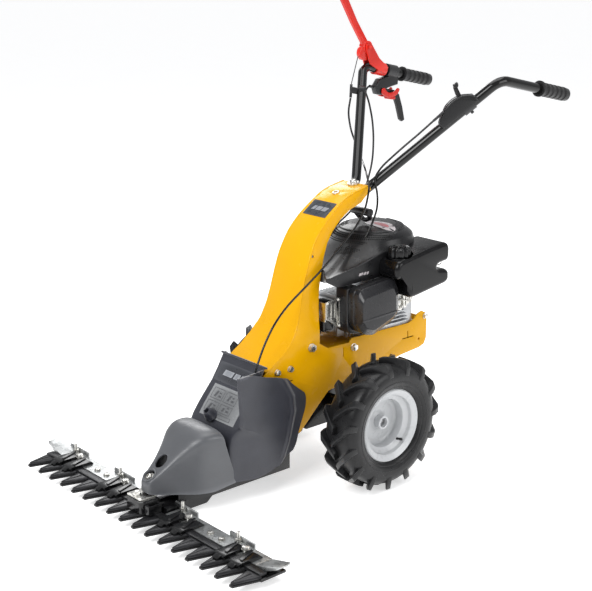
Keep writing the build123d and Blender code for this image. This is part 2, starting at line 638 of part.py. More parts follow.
def worm_shaft():
    """Vertical worm with a single thread, carried up to the traction pulley."""
    lead = pi * WORM_MODULE
    core = rod((0, WORM_Y, 122), (0, WORM_Y, 276), 8) + rod((0, WORM_Y, 142), (0, WORM_Y, 188),
                                                            WORM_RADIUS - 2.4)
    path = Pos(0, WORM_Y, AXLE_Z - 2 * lead) * Rot(0, 0, 90) * Helix(pitch=lead, height=4 * lead,
            radius=WORM_RADIUS - 2.9)
    start = path @ 0
    across = Vector(start.X, start.Y - WORM_Y, 0).normalized()
    plane = Plane(origin=start, x_dir=across, z_dir=path % 0)
    thread = sweep(plane * make_face(Polyline((0, -1.7), (4.2, -1.2), (4.2, 1.2), (0, 1.7), close=True)),
                   path=path, is_frenet=True)
    return core + thread


def gearbox_housing():
    """Cast worm gearbox on the axle, with ears to the side plates."""
    outer = block((-32, 32), (-84, 56), (108, 226))
    outer = softened(outer, 12, outer.edges().filter_by(Axis.X))
    tubes = rod((-70, 0, AXLE_Z), (70, 0, AXLE_Z), 22)
    ears = block((-72.5, 72.5), (-70, -30), (218, 226)) + block((-72.5, 72.5), (20, 48), (218, 226))
    cavity = block((-18, 18), (-74, 50), (116, 214))
    shaft_bore = rod((-80, 0, AXLE_Z), (80, 0, AXLE_Z), 15)
    worm_bore = rod((0, WORM_Y, 112), (0, WORM_Y, 240), 12)
    return outer + tubes + ears - cavity - shaft_bore - worm_bore


def bearings():
    """Bronze bushes of the axle, ball races of the worm and of the crank shaft."""
    items = []
    for x0, x1 in ((-70, -46), (46, 70)):
        items.append(pipe((x0, 0, AXLE_Z), (x1, 0, AXLE_Z), 15, AXLE_RADIUS + 0.05))
    items.append(pipe((0, WORM_Y, 214), (0, WORM_Y, 226), 12, 8.05))
    items.append(pipe((0, WORM_Y, 112), (0, WORM_Y, 121), 12, 8.05) - rod((0, WORM_Y, 110),
            (0, WORM_Y, 113), 8.05))
    for z in (96, 244):
        items.append(pipe((0, CRANK_Y, z), (0, CRANK_Y, z + 14), 20, 10.05))
    return items


# ---------------------------------------------------------------- engine
def crankshaft():
    """Engine crankshaft with its flywheel under the blower housing."""
    shaft = rod((0, ENGINE_Y, 254), (0, ENGINE_Y, 520), 12)
    flywheel = rod((0, ENGINE_Y, 496), (0, ENGINE_Y, 520), 88)
    for i in range(20):
        angle = radians(18 * i)
        fin = Pos(0, ENGINE_Y, 527) * Rot(0, 0, 18 * i) * Pos(68, 0, 0) * Box(30, 3, 16)
        flywheel += fin
    throw = rod((0, ENGINE_Y, 352), (0, ENGINE_Y, 396), 30)
    return shaft + flywheel + throw


def engine_pulleys():
    """Two-groove pulley on the lower end of the crankshaft."""
    upper = belt_pulley(ENGINE_Y, CUTTER_BELT_Z, ENGINE_PULLEY_RADIUS, 12)
    lower = belt_pulley(ENGINE_Y, TRACTION_BELT_Z, ENGINE_PULLEY_RADIUS, 12)
    spacer = pipe((0, ENGINE_Y, TRACTION_BELT_Z + 7), (0, ENGINE_Y, CUTTER_BELT_Z - 7), 18, 12)
    return upper + spacer + lower


def engine_block():
    """Cast crankcase with its base flange, finned cylinder pointing forward, and head."""
    flange = rod((0, ENGINE_Y, DECK_Z), (0, ENGINE_Y, DECK_Z + 10), 108) & block((-72.5, 72.5), (60, 300),
            (300, 340))
    case = block((-68, 68), (112, 268), (DECK_Z + 8, 405))
    case = softened(case, 14, case.edges().filter_by(Axis.Z))
    cover = rod((0, ENGINE_Y, 400), (0, ENGINE_Y, 470), 62)
    cylinder = block((-38, 38), (36, 125), (DECK_Z + 22, 415))
    fins = []
    for i in range(8):
        y = 40 + 10 * i
        fins.append(block((-56, 56), (y, y + 3.5), (DECK_Z + 14, 432)))
    head = block((-50, 50), (12, 36), (DECK_Z + 20, 424))
    valve_cover = softened(block((-40, 40), (-6, 13), (DECK_Z + 30, 415)), 6)
    plug = rod((-60, 24, 372), (-40, 24, 372), 9)
    body = flange + case + cover + cylinder + head + valve_cover + plug
    for fin in fins:
        body += fin
    body += rod((0, ENGINE_Y, 468), (0, ENGINE_Y, 484), 96)
    for x0, x1 in ((-108, -80), (80, 108)):
        body += block((x0, x1), (206, 222), (474, 489.5))
    body += oil_filler()
    hollow = rod((0, ENGINE_Y, DECK_Z + 20), (0, ENGINE_Y, 402), 50) + rod((0, ENGINE_Y, 300),
            (0, ENGINE_Y, 490), 12.05)
    hollow += rod((0, ENGINE_Y - 20, 370), (0, 50, 370), 27)
    return body - hollow


def blower_housing():
    """Black fan cowl: a round dome over the flywheel, with a skirt forward over the cylinder."""
    centre = Pos(0, 178, 0)
    dome_profile = [(0, 603), (36, 602), (62, 596), (84, 584), (98, 566), (105, 545), (107, 520),
                    (107, 490)]
    inner_profile = [(0, 598.5), (36, 597.5), (60, 591.8), (81, 580.5), (94, 563.5), (101, 543.5),
                     (103, 520), (103, 480)]
    outer = centre * revolve(Plane.XZ * make_face(Polyline(*dome_profile, (0, 490), close=True)), Axis.Z)
    inner = centre * revolve(Plane.XZ * make_face(Polyline(*inner_profile, (0, 480), close=True)), Axis.Z)
    side_outline = [(-64, 502), (-62, 518), (-47, 527), (92, 553), (200, 560), (200, 490), (20, 490),
                    (-6, 480), (-22, 498)]
    inner_outline = [(-60, 440), (-58, 515), (-45, 523), (92, 549), (205, 556), (205, 440)]
    skirt_plan = [(-84, -36), (62, -40), (64, -63), (84, -64), (102, -46), (106, 100), (105, 190),
                  (-105, 190), (-98, 60)]
    inner_plan = [(-80, -32), (66, -36), (68, -59), (82, -60), (98, -44), (102, 100), (101, 200),
                  (-101, 200), (-94, 60)]
    skirt = side_plate(side_outline, -120, 120) & floor_plate(skirt_plan, 400, 700)
    skirt_inner = side_plate(inner_outline, -120, 120) & floor_plate(inner_plan, 400, 700)
    shell = (outer + skirt) - (inner + skirt_inner)
    for i in range(24):
        shell -= centre * Rot(0, 0, 15 * i) * Pos(54, 0, 600) * Box(26, 4, 30)
    return shell - rod((10, 148, 580), (10, 144, 620), 6)


def starter_handle():
    """Recoil starter handle: a D-shaped grip that rests on the cowl's rope guide."""
    grip = rod((-22, 130, 636), (42, 130, 636), 10)
    loop = swept_tube([(-18, 130, 636), (-10, 140, 619), (10, 144, 611), (30, 140, 619), (38, 130, 636)],
                      [8, 12, 8], 6)
    return grip + loop


FUEL_CAP_XY = (134.5, 141.0)


def fuel_tank():
    """Blow-moulded tank beside the cowl: stepped front, notch at the rear, filler neck on top."""
    cap_x, cap_y = FUEL_CAP_XY
    outline = [(98, 505), (98, 535), (112, 548), (255, 562), (292, 552), (298, 512), (286, 504), (222, 504),
               (216, 494),
               (222, 484), (288, 483), (298, 474), (294, 456), (272, 448), (160, 444), (140, 450), (134,
                       500)]
    plan = [(66, 230), (66, 290), (92, 300), (130, 292), (166, 268), (172, 258), (172, 112), (162, 98),
            (112, 98), (110, 230)]
    body = side_plate(outline, 60, 172)
    body = softened(body, 6, body.edges().filter_by(Plane.YZ))
    body &= floor_plate(plan, 400, 620)
    filled = side_plate([(200, 470), (200, 550), (282, 552), (286, 480)], 70, 130) & floor_plate(plan, 400,
            620)
    body = body + filled - rod((0, 178, 400), (0, 178, 640), 111)
    body -= rod((cap_x, cap_y, 539), (cap_x, cap_y, 600), 31)
    return body + pipe((cap_x, cap_y, 530), (cap_x, cap_y, 562), 20, 16)


def fuel_cap():
    """Ribbed screw cap of the fuel tank."""
    x, y = FUEL_CAP_XY
    cap = rod((x, y, 562.5), (x, y, 574), 23)
    cap += rod((x, y, 540), (x, y, 570), 26) - rod((x, y, 535), (x, y, 562.5), 20.5)
    for i in range(18):
        angle = radians(20 * i)
        spot = (x + 25.5 * cos(angle), y + 25.5 * sin(angle))
        cap += rod((*spot, 541), (*spot, 568), 2.2)
    return cap


FILTER_FACE = [(-8, 479), (98, 486), (111, 461), (114, 390), (16, 377), (-14, 459)]
FILTER_RIM = [(0, 476), (112, 492), (131, 447), (152, 381), (57, 352), (5, 400)]


def outline_at(points, x):
    """Face in an upright plane along the machine from (y, z) points."""
    return Plane.YZ.offset(x) * make_face(Polyline(*points, close=True))


def air_filter_cover():
    """Cover of the air filter, chamfered towards its outer face."""
    shell = extrude(outline_at(FILTER_RIM, 128), 8) + loft([outline_at(FILTER_RIM, 136),
                                                            outline_at(FILTER_FACE, 160)], ruled=True)
    shell += extrude(outline_at(FILTER_FACE, 160), 2)
    return shell - block((155, 170), (10, 110), (470, 473))


def air_filter_base():
    """Back half of the air filter box, open to the carburettor."""
    body = extrude(outline_at(FILTER_RIM, 110), 17.5)
    body -= extrude(outline_at([(10, 470), (106, 482), (123, 445), (143, 387), (62, 361), (15, 400)], 113),
                    20)
    duct = block((90, 111), (68, 96), (400, 428))
    return body + duct


def carburettor():
    """Aluminium carburettor with its bowl, between the filter box and the cylinder."""
    body = block((69, 89.5), (66, 92), (398, 432))
    bowl = rod((79, 79, 372), (79, 79, 399), 10)
    plate = block((70, 92), (150, 240), (410, 413)) + block((72, 76), (150, 240), (380, 413))
    lever = rod((88, 190, 400), (88, 190, 425), 5)
    link = rod((86, 90, 424), (88, 188, 420), 1.6)
    return body + bowl + block((70, 76), (88, 152), (398, 413)) + plate + lever + link


def muffler():
    """Exhaust box beside the cylinder head."""
    box = softened(block((30, 74), (-55, -20), (366, 444)), 8)
    spout = rod((52, -50, 374), (52, -57, 362), 8)
    pipe_in = rod((53, -22, 400), (53, 11.8, 400), 8)
    return box + spout + pipe_in


def heat_shield():
    """Thin plated guard over the muffler's outer side, with stiffening ribs."""
    outline = [(-56, 445), (-20, 450), (-11, 373), (-50, 399)]
    guard = side_plate(outline, 77.5, 79) + block((60, 79), (-57.5, -56), (396, 444)) + block((77.5, 79),
            (-57.5, -54), (396, 444))
    for y in (-46, -34, -22):
        guard += block((78, 81), (y - 2, y + 2), (402, 438))
    return guard


FILLER_MOUTH = (76.0, 12.0, 381.0)
FILLER_AXIS = (0.75, -0.45, 0.48)


def dipstick():
    """Oil filler cap with its knurled rim and the rod of the dipstick."""
    rim_part = Cylinder(18, 12, align=(Align.CENTER, Align.CENTER, Align.MIN)) + Pos(0, 0, 12) * Box(28, 7,
            8)
    rod_part = Pos(0, 0, -20) * Cylinder(4, 21, align=(Align.CENTER, Align.CENTER, Align.MIN))
    return Plane(origin=FILLER_MOUTH, z_dir=FILLER_AXIS) * (rim_part + rod_part)


def oil_filler():
    """Filler tube of the engine's sump, in line with its cap."""
    direction = Vector(*FILLER_AXIS).normalized()
    top = Vector(*FILLER_MOUTH) - direction * 0.5
    low = top - direction * 34
    tube = rod(tuple(low), tuple(top), 12) + rod(tuple(low + direction * 4), (50, 62, 350), 11)
    return tube - rod(tuple(low + direction * 6), tuple(top + direction), 9)


# ---------------------------------------------------------------- handlebar and controls
def handle_tube(side):
    """Steel tube from inside the column's neck, up and outwards, then back to the grip."""
    bend_x, bend_y, bend_z = HANDLE_BEND
    points = [(side * 27, 22, 648), (side * HANDLE_FOOT[0], HANDLE_FOOT[1], HANDLE_FOOT[2]),
              (side * bend_x, bend_y, bend_z),
              (side * GRIP_END[0], GRIP_END[1] - 4, GRIP_END[2] + 0.85)]
    return swept_tube(points, [38, 45], HANDLE_TUBE_RADIUS)


def grip(side):
    """Ribbed rubber grip with a flange at its inner end."""
    start = Vector(side * GRIP_START[0], GRIP_START[1], GRIP_START[2])
    end = Vector(side * GRIP_END[0], GRIP_END[1], GRIP_END[2])
    line = (end - start).normalized()
    body = rod(tuple(start), tuple(end), GRIP_RADIUS) + rod(tuple(start), tuple(start + line * 5),
                                                            GRIP_RADIUS + 4)
    for i in range(5):
        near = start + line * (22 + 18 * i)
        body += rod(tuple(near), tuple(near + line * 8), GRIP_RADIUS + 1.2)
    tube_end = Vector(side * GRIP_END[0], GRIP_END[1] - 4, GRIP_END[2] + 0.85)
    tube_line = (tube_end - Vector(side * HANDLE_BEND[0], HANDLE_BEND[1], HANDLE_BEND[2])).normalized()
    bore_length = 116.0
    bore = rod(tuple(tube_end - tube_line * bore_length), tuple(tube_end + tube_line * 0.6),
               HANDLE_TUBE_RADIUS + 0.2)
    return body - bore


TUBE_DIRECTION = (Vector(*HANDLE_BEND) - Vector(*HANDLE_FOOT)).normalized()


def on_left_tube(distance):
    """Point on the left tube's centre line, measured down from the bend."""
    return Vector(*HANDLE_BEND) - TUBE_DIRECTION * distance


def throttle_plane(distance):
    """Plane on top of the left tube: X along the tube, Y across it, Z away from it."""
    up = Vector(0, 0, 1) - TUBE_DIRECTION * TUBE_DIRECTION.Z
    return Plane(origin=on_left_tube(distance), x_dir=TUBE_DIRECTION, z_dir=up.normalized())


THROTTLE_AT = 122.0


def throttle_housing():
    """Black two-part throttle box clamped on the left tube, slotted for its lever."""
    profile = Polyline((-56, -4), (-58, 14), (-40, 24), (0, 32), (26, 32), (50, 16), (50, -4), close=True)
    body = extrude(Plane.XZ.offset(-15.5) * make_face(profile), 31)
    body = softened(body, 4, body.edges().filter_by(Axis.Y))
    slot = Pos(18, 0, 30) * Box(50, 8, 30)
    tube = Rot(0, 90, 0) * Cylinder(HANDLE_TUBE_RADIUS, 140)
    strap = Pos(22, 0, 0) * Rot(0, 90, 0) * Cylinder(15.5, 34)
    screw = Pos(22, 0, -17) * Cylinder(4, 7)
    return throttle_plane(THROTTLE_AT) * (body + strap + screw - slot - tube)


def throttle_lever():
    """Thumb lever that swings in the throttle box's slot."""
    hub = Pos(18, 0, 22) * Rot(90, 0, 0) * Cylinder(6, 7)
    outline = Polyline((13, 22), (17, 44), (22, 58), (27, 64), (36, 63), (31, 52), (24, 22), close=True)
    blade = extrude(Plane.XZ.offset(-3) * make_face(outline), 6)
    return throttle_plane(THROTTLE_AT) * (hub + blade)


CUTTER_LEVER_PIVOT = (-236.0, 378.0, 1014.0)
TRACTION_LEVER_PIVOT = (-240.0, 441.0, 893.0)


def cutter_lever():
    """Long red lever with a grooved quadrant at its foot that winds the cable's wire."""
    x, y, z = CUTTER_LEVER_PIVOT
    arm = side_plate([(y - 14, z + 6), (y - 56, z + 66), (y - 96, z + 130), (y - 112, z + 160),
                      (y - 104, z + 172), (y - 92, z + 170),
                      (y - 78, z + 140), (y - 38, z + 72), (y + 8, z + 8)], x - 8, x + 8)
    arm = softened(arm, 5, arm.edges().filter_by(Plane.YZ))
    hub = rod((x - 9, y, z), (x + 9, y, z), 17)
    quadrant = rod((x - 7, y - 8, z - 15), (x + 7, y - 8, z - 15), 20)
    return arm + hub + quadrant - rod((x - 20, y, z), (x + 20, y, z), 5.05)


def cutter_lever_bracket():
    """Red bracket that clamps round the right tube and carries the lever's pivot bolt."""
    x, y, z = CUTTER_LEVER_PIVOT
    cheeks = []
    for x0, x1 in ((x - 14, x - 9.6), (x + 9.6, x + 14)):
        cheeks.append(side_plate([(y - 9, z + 9), (y + 9, z + 9), (y + 40, z - 32), (y + 74, z - 58),
                                  (y + 66, z - 76), (y + 34, z - 62), (y + 6, z - 46), (y - 9, z - 8)],
                                 x0, x1))
    bolt = rod((x - 18, y, z), (x + 18, y, z), 5)
    clamp_low = Vector(-240, 440, 950.7)
    along = (Vector(-240, 522, 934) - Vector(-240, 440, 950.7)).normalized()
    ring = rod(tuple(clamp_low - along * 26), tuple(clamp_low + along * 10), 18)
    bracket = cheeks[0] + cheeks[1] + bolt + ring
    return bracket - handle_tube(-1)


def cable_stop():
    """Black block on the right tube that ends the cutter cable's sleeve, with its adjuster."""
    on_tube = Vector(-239, 372, 964) + Vector(TUBE_DIRECTION.X, -TUBE_DIRECTION.Y, -TUBE_DIRECTION.Z) * 96
    stop = Plane(origin=on_tube, z_dir=(-0.6, -0.76, 0.2)) * (Pos(0, 0, 10) * Box(16, 16,
            40) + Cylinder(16.5, 18))
    adjuster = rod((-207.5, 296, 887), (-209.5, 300, 922), 3.6)
    return stop + adjuster - handle_tube(-1)


def traction_lever_housing():
    """Black bracket clamped under the right handle, holding the hand lever and its adjuster."""
    x = TRACTION_LEVER_PIVOT[0]
    web = side_plate([(455, 962), (462, 930), (430, 925), (412, 904), (420, 884), (436, 880), (441, 893),
                      (470, 900), (500, 905), (502, 925), (494, 942),
                      (497, 952)], x - 11, x + 11)
    web = softened(web, 4, web.edges().filter_by(Plane.YZ))
    tube_at = Vector(-240, 478, 943)
    along = (Vector(*GRIP_START) - Vector(*HANDLE_BEND)).normalized()
    along = Vector(0, along.Y, along.Z).normalized()
    ring = rod(tuple(tube_at - along * 19), tuple(tube_at + along * 19), 18)
    room = side_plate([(425, 908), (430, 884), (470, 870), (520, 880), (520, 923), (480, 923), (458, 913),
                       (446, 905)],
                      x - 7, x + 7)
    adjuster = rod((x, 414, 903), (x, 398, 907), 4)
    pin = rod((x - 12, *TRACTION_LEVER_PIVOT[1:]), (x + 12, *TRACTION_LEVER_PIVOT[1:]), 3)
    return web + ring - room + adjuster + pin - handle_tube(-1)


def traction_lever():
    """Curved hand lever on a pin in its bracket."""
    x, y, z = TRACTION_LEVER_PIVOT
    blade = side_plate([(y - 5, z + 6), (y - 8, z - 2), (y + 12, z - 14), (y + 50, z - 20),
                        (y + 62, z - 46), (y + 76, z - 88), (y + 84, z - 94),
                        (y + 94, z - 90), (y + 84, z - 52), (y + 70, z - 16), (y + 50, z - 3), (y + 20,
                                z + 3)], x - 6, x + 6)
    blade = softened(blade, 3, blade.edges().filter_by(Plane.YZ))
    return blade - rod((x - 20, y, z), (x + 20, y, z), 3.05)


def lever_latch():
    """Red parking latch beside the hand lever, on the same pin."""
    x, y, z = TRACTION_LEVER_PIVOT
    plates = []
    outline = [(y - 7, z + 7), (y - 8, z - 6), (y + 14, z - 17), (y + 46, z - 17), (y + 60, z - 2),
               (y + 46, z + 2), (y + 24, z + 2)]
    for x0, x1 in ((x - 15.5, x - 12.2), (x + 12.2, x + 15.5)):
        plates.append(side_plate(outline, x0, x1))
    bridge = block((x - 14, x + 14), (y + 30, y + 44), (z - 27, z - 22)) + block((x - 15.5, x - 12.2),
            (y + 30, y + 44), (z - 27, z - 10))
    bridge += block((x + 12.2, x + 15.5), (y + 30, y + 44), (z - 27, z - 10))
    return (plates[0] + plates[1] + bridge) - rod((x - 20, y, z), (x + 20, y, z), 3.05)


# ---------------------------------------------------------------- cables
def corner_radii(points):
    """Arc radius at each corner of a cable: 0.45 of the shorter run over the tangent of half the turn."""
    radii = []
    for before, corner, after in zip(points, points[1:], points[2:]):
        first = Vector(corner) - Vector(before)
        second = Vector(after) - Vector(corner)
        half_turn = radians(first.get_angle(second)) / 2
        radii.append(min(0.45 * min(first.length, second.length) / tan(half_turn), 900.0))
    return radii


def cable(name, points):
    """Sheathed control cable along a route of points."""
    radii = corner_radii(points)
    print(name, "smallest bend", round(min(radii), 1))
    return swept_tube(points, radii, CABLE_RADIUS)


CUTTER_CABLE = [(-207.5, 296, 886), (-206, 286, 850), (-192, 282, 806), (-160, 272, 770), (-118, 246, 750),
                (-72, 212, 740),
                (-25, 174, 736), (20, 137, 726), (60, 108, 708), (76, 78, 655), (77, 42, 614), (74, -8,
                        570), (71, -66, 524),
                (70, -122, 488), (71, -172, 458), (74, -218, 419), (77, -252, 372), (82, -280, 322), (86,
                        -292, 284)]
TRACTION_CABLE = [(-240, 394, 906.5), (-238, 380, 895), (-230, 386, 869), (-205, 376, 826),
                  (-172, 350, 782), (-130, 306, 724),
                  (-90, 240, 660), (-66, 170, 620), (-62, 110, 590), (-66, 60, 560)]
THROTTLE_CABLE = [(143, 248, 870), (118, 221, 836), (84, 184, 792), (54, 155, 752), (42, 140, 722),
                  (58, 138, 686), (64, 132, 650),
                  (60, 118, 612), (56, 100, 580)]


def cutter_wire():
    """Bare wire from the cable's adjuster up to the lever's quadrant."""
    return rod((-209.7, 300.4, 923), (-236, 349, 990), 1.2)


# ---------------------------------------------------------------- build every node
def build():
    save("finger_bar", finger_bar())
    save("knife", knife())
    save("knife_head", knife_head())
    save("knife_head_clamp", *knife_head_clamp())
    save("hold_down_clips", *hold_down_clips())
    save("bar_fasteners", *bar_fasteners())
    save("backing_plates", *backing_plates())
    save("bar_skids", *bar_skids())
    save("bar_carrier", bar_carrier())
    save("crank_case", crank_case())
    save("rocker_arm", rocker_arm())
    save("rocker_pivot", rocker_pivot())
    save("cutter_crank", cutter_crank())
    save("cutter_pulley", belt_pulley(CRANK_Y, CUTTER_BELT_Z, CUTTER_PULLEY_RADIUS, 10))
    save("nose_cover", nose_cover())
    save("front_shield", front_shield())
    save("under_rails", *under_rails())
    save("main_frame", main_frame())
    save("chassis_bolts", *chassis_bolts())
    save("gearbox_housing", gearbox_housing())
    save("worm_shaft", worm_shaft())
    save("worm_wheel", worm_wheel())
    save("axle", axle())
    save("traction_pulley", belt_pulley(WORM_Y, TRACTION_BELT_Z, TRACTION_PULLEY_RADIUS, 8))
    for side, name in ((1, "left"), (-1, "right")):
        save(f"rim_{name}", rim(side))
        save(f"tyre_{name}", tyre(side))
        save(f"handle_tube_{name}", handle_tube(side))
    save("wheel_pins", *wheel_pins())
    save("bearings", *bearings())
    save("belts", *belts())
    save("engine_pulleys", engine_pulleys())
    save("crankshaft", crankshaft())
    save("traction_idler", idler(-1, TRACTION_IDLER_PIVOT_Y, TRACTION_IDLER_ROLLER_Y, IDLER_X,
                                 TRACTION_BELT_Z, 14))
    save("cutter_idler", idler(1, CUTTER_IDLER_PIVOT_Y, CUTTER_IDLER_ROLLER_Y, IDLER_X, CUTTER_BELT_Z, 11))
    save("engine_block", engine_block())
    save("blower_housing", blower_housing())
    save("starter_handle", starter_handle())
    save("fuel_tank", fuel_tank())
    save("fuel_cap", fuel_cap())
    save("air_filter_cover", air_filter_cover())
    save("air_filter_base", air_filter_base())
    save("carburettor", carburettor())
    save("muffler", muffler())
    save("heat_shield", heat_shield())
    save("dipstick", dipstick())
    save("grips", grip(1), grip(-1))
    save("throttle_housing", throttle_housing())
    save("throttle_lever", throttle_lever())
    save("cutter_lever", cutter_lever())
    save("cutter_lever_bracket", cutter_lever_bracket())
    save("cable_stop", cable_stop())
    save("traction_lever_housing", traction_lever_housing())
    save("traction_lever", traction_lever())
    save("lever_latch", lever_latch())
    save("cutter_cable", cable("cutter_cable", CUTTER_CABLE), cutter_wire())
    save("traction_cable", cable("traction_cable", TRACTION_CABLE))
    save("throttle_cable", cable("throttle_cable", THROTTLE_CABLE))


build()
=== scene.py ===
from math import atan2, cos, degrees, exp, hypot, pi, radians, sin
import bmesh
import bpy
from mathutils import Matrix, Vector


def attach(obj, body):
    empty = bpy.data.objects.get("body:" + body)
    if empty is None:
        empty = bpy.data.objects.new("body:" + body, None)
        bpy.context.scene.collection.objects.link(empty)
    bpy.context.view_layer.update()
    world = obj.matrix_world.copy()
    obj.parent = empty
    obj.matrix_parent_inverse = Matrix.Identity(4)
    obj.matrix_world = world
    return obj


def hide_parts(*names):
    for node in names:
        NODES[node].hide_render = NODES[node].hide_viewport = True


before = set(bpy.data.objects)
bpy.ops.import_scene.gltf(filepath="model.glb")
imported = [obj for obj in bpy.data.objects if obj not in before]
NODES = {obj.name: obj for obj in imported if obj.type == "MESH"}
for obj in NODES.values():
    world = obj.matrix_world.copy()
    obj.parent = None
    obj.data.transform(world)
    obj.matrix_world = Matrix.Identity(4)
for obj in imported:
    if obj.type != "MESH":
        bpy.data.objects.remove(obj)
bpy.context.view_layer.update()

MM = 0.001
AXLE_Y = -0.0074          # the wheel axle's place along the machine, in metres
AXLE_Z = 165              # its height, in millimetres
WELD = 0.00002            # corners closer than this are one corner


def at(x, y, z):
    """Point in metres from millimetres measured at the wheel axle on the ground."""
    return Vector((x * MM, y * MM + AXLE_Y, z * MM))


# ---------------------------------------------------------------- materials
class Look:
    """A material under construction: its nodes, its shader and the object's own coordinates."""

    def __init__(self, name):
        self.material = bpy.data.materials.new(name)
        self.material.use_nodes = True
        self.tree = self.material.node_tree
        self.tree.nodes.clear()
        self.shader = self.node("ShaderNodeBsdfPrincipled")
        self.node("ShaderNodeOutputMaterial", Surface=self.shader.outputs["BSDF"])
        self.here = self.node("ShaderNodeTexCoord").outputs["Object"]

    def feed(self, node, inputs):
        """Link each named input to an output socket, or set it to a plain value."""
        for name, value in inputs.items():
            if isinstance(value, bpy.types.NodeSocket):
                self.tree.links.new(value, node.inputs[name])
            else:
                node.inputs[name].default_value = value

    def node(self, kind, **inputs):
        node = self.tree.nodes.new(kind)
        self.feed(node, inputs)
        return node

    def noise(self, scale, detail=4.0, rough=0.55, source=None):
        place = self.here if source is None else source
        return self.node("ShaderNodeTexNoise", Vector=place, Scale=scale, Detail=detail,
                         Roughness=rough).outputs["Fac"]

    def ramp(self, value, *stops):
        """Colour ramp through two (position, colour) stops; a single number stands for a grey."""
        node = self.node("ShaderNodeValToRGB", Fac=value)
        for element, (position, colour) in zip(node.color_ramp.elements, stops):
            element.position = position
            element.color = (*(colour if isinstance(colour, tuple) else (colour,) * 3), 1.0)
        return node.outputs["Color"]

    def mixed(self, factor, low, high):
        node = self.node("ShaderNodeMix")
        node.data_type = "RGBA"
        self.feed(node, {"Factor": factor, "A": low, "B": (*high, 1.0)})
        return node.outputs["Result"]

    def rubbed(self, shade, edge_colour):
        """The shade, turning to another colour where the surface is convex."""
        geometry = self.node("ShaderNodeNewGeometry")
        edges = self.ramp(geometry.outputs["Pointiness"], (0.52, 0.0), (0.60, 1.0))
        return self.mixed(edges, shade, edge_colour)

    def done(self, colour, roughness, relief, strength, distance, **fixed):
        """Finish the shader: colour, roughness, a bump of that strength and depth, fixed sockets."""
        bump = self.node("ShaderNodeBump", Height=relief, Strength=strength, Distance=distance)
        self.feed(self.shader, {"Base Color": colour, "Roughness": roughness,
                                "Normal": bump.outputs["Normal"]})
        self.feed(self.shader, {name.replace("_", " "): value for name, value in fixed.items()})
        return self.material


def lighter(colour, gain, lift):
    return tuple(min(c * gain + lift, 1.0) for c in colour)


def paint(name, base, dark, roughness, coat, dust=0.12, gloss=0.5):
    """Sprayed enamel with orange peel, faint cloudy shade and a little dust in its roughness."""
    look = Look(name)
    shade = look.ramp(look.noise(9.0, 3.0), (0.30, dark), (0.62, base))
    smear = look.ramp(look.noise(38.0, 5.0), (0.35, roughness), (0.75, roughness + dust))
    return look.done(look.rubbed(shade, lighter(base, 1.12, 0.002)), smear,
                     look.noise(420.0, 2.0), 0.10, 0.0006,
                     Coat_Weight=coat, Coat_Roughness=0.08, Specular_IOR_Level=gloss)


def plastic(name, base, light, roughness, grain=900.0, depth=0.25, gloss=0.5):
    """Moulded plastic with spark-eroded grain, flow marks and lighter rubbed edges."""
    look = Look(name)
    shade = look.ramp(look.noise(14.0, 4.0), (0.30, base), (0.72, light))
    smear = look.ramp(look.noise(60.0, 6.0), (0.30, roughness - 0.06), (0.75, roughness + 0.10))
    return look.done(look.rubbed(shade, lighter(light, 1.35, 0.012)), smear,
                     look.noise(grain, 2.0), depth, 0.0003, Specular_IOR_Level=gloss)


def metal(name, base, dark, roughness, scratches=0.25, stretch=(1.0, 1.0, 1.0), grain=220.0,
          metallic=1.0):
    """Bare or plated metal with tone patches and fine directional scratches."""
    look = Look(name)
    patch = look.ramp(look.noise(26.0, 5.0), (0.28, dark), (0.66, base))
    mapping = look.node("ShaderNodeMapping", Vector=look.here, Scale=stretch)
    line = look.noise(grain, 6.0, 0.7, mapping.outputs["Vector"])
    worn = look.ramp(line, (0.3, roughness), (0.75, min(roughness + 0.2, 1.0)))
    return look.done(patch, worn, line, scratches, 0.0002, Metallic=metallic)


def galvanised(name):
    """Zinc plate with its crystal spangle, dull patches and handling scratches."""
    look = Look(name)
    cells = look.node("ShaderNodeTexVoronoi", Vector=look.here, Scale=95.0)
    tone = look.node("ShaderNodeSeparateColor", Color=cells.outputs["Color"])
    spangle = look.ramp(tone.outputs["Red"], (0.0, (0.33, 0.34, 0.34)), (1.0, (0.50, 0.51, 0.51)))
    dull = look.ramp(look.noise(18.0, 6.0), (0.48, 0.0), (0.72, 0.55))
    rough = look.noise(130.0, 6.0)
    return look.done(look.mixed(dull, spangle, (0.24, 0.24, 0.23)),
                     look.ramp(rough, (0.3, 0.24), (0.8, 0.48)), rough, 0.22, 0.0003, Metallic=0.85)


def rubber(name, base, roughness, sheen=0.25, grain=380.0, depth=0.4):
    """Black rubber: dusty sheen, mould skin and fine pores."""
    look = Look(name)
    shade = look.ramp(look.noise(22.0, 6.0), (0.35, base), (0.80, lighter(base, 2.1, 0.008)))
    skin = look.ramp(look.noise(75.0, 5.0), (0.3, roughness), (0.8, roughness + 0.22))
    return look.done(shade, skin, look.noise(grain, 4.0), depth, 0.0004,
                     Sheen_Weight=sheen, Specular_IOR_Level=0.3)


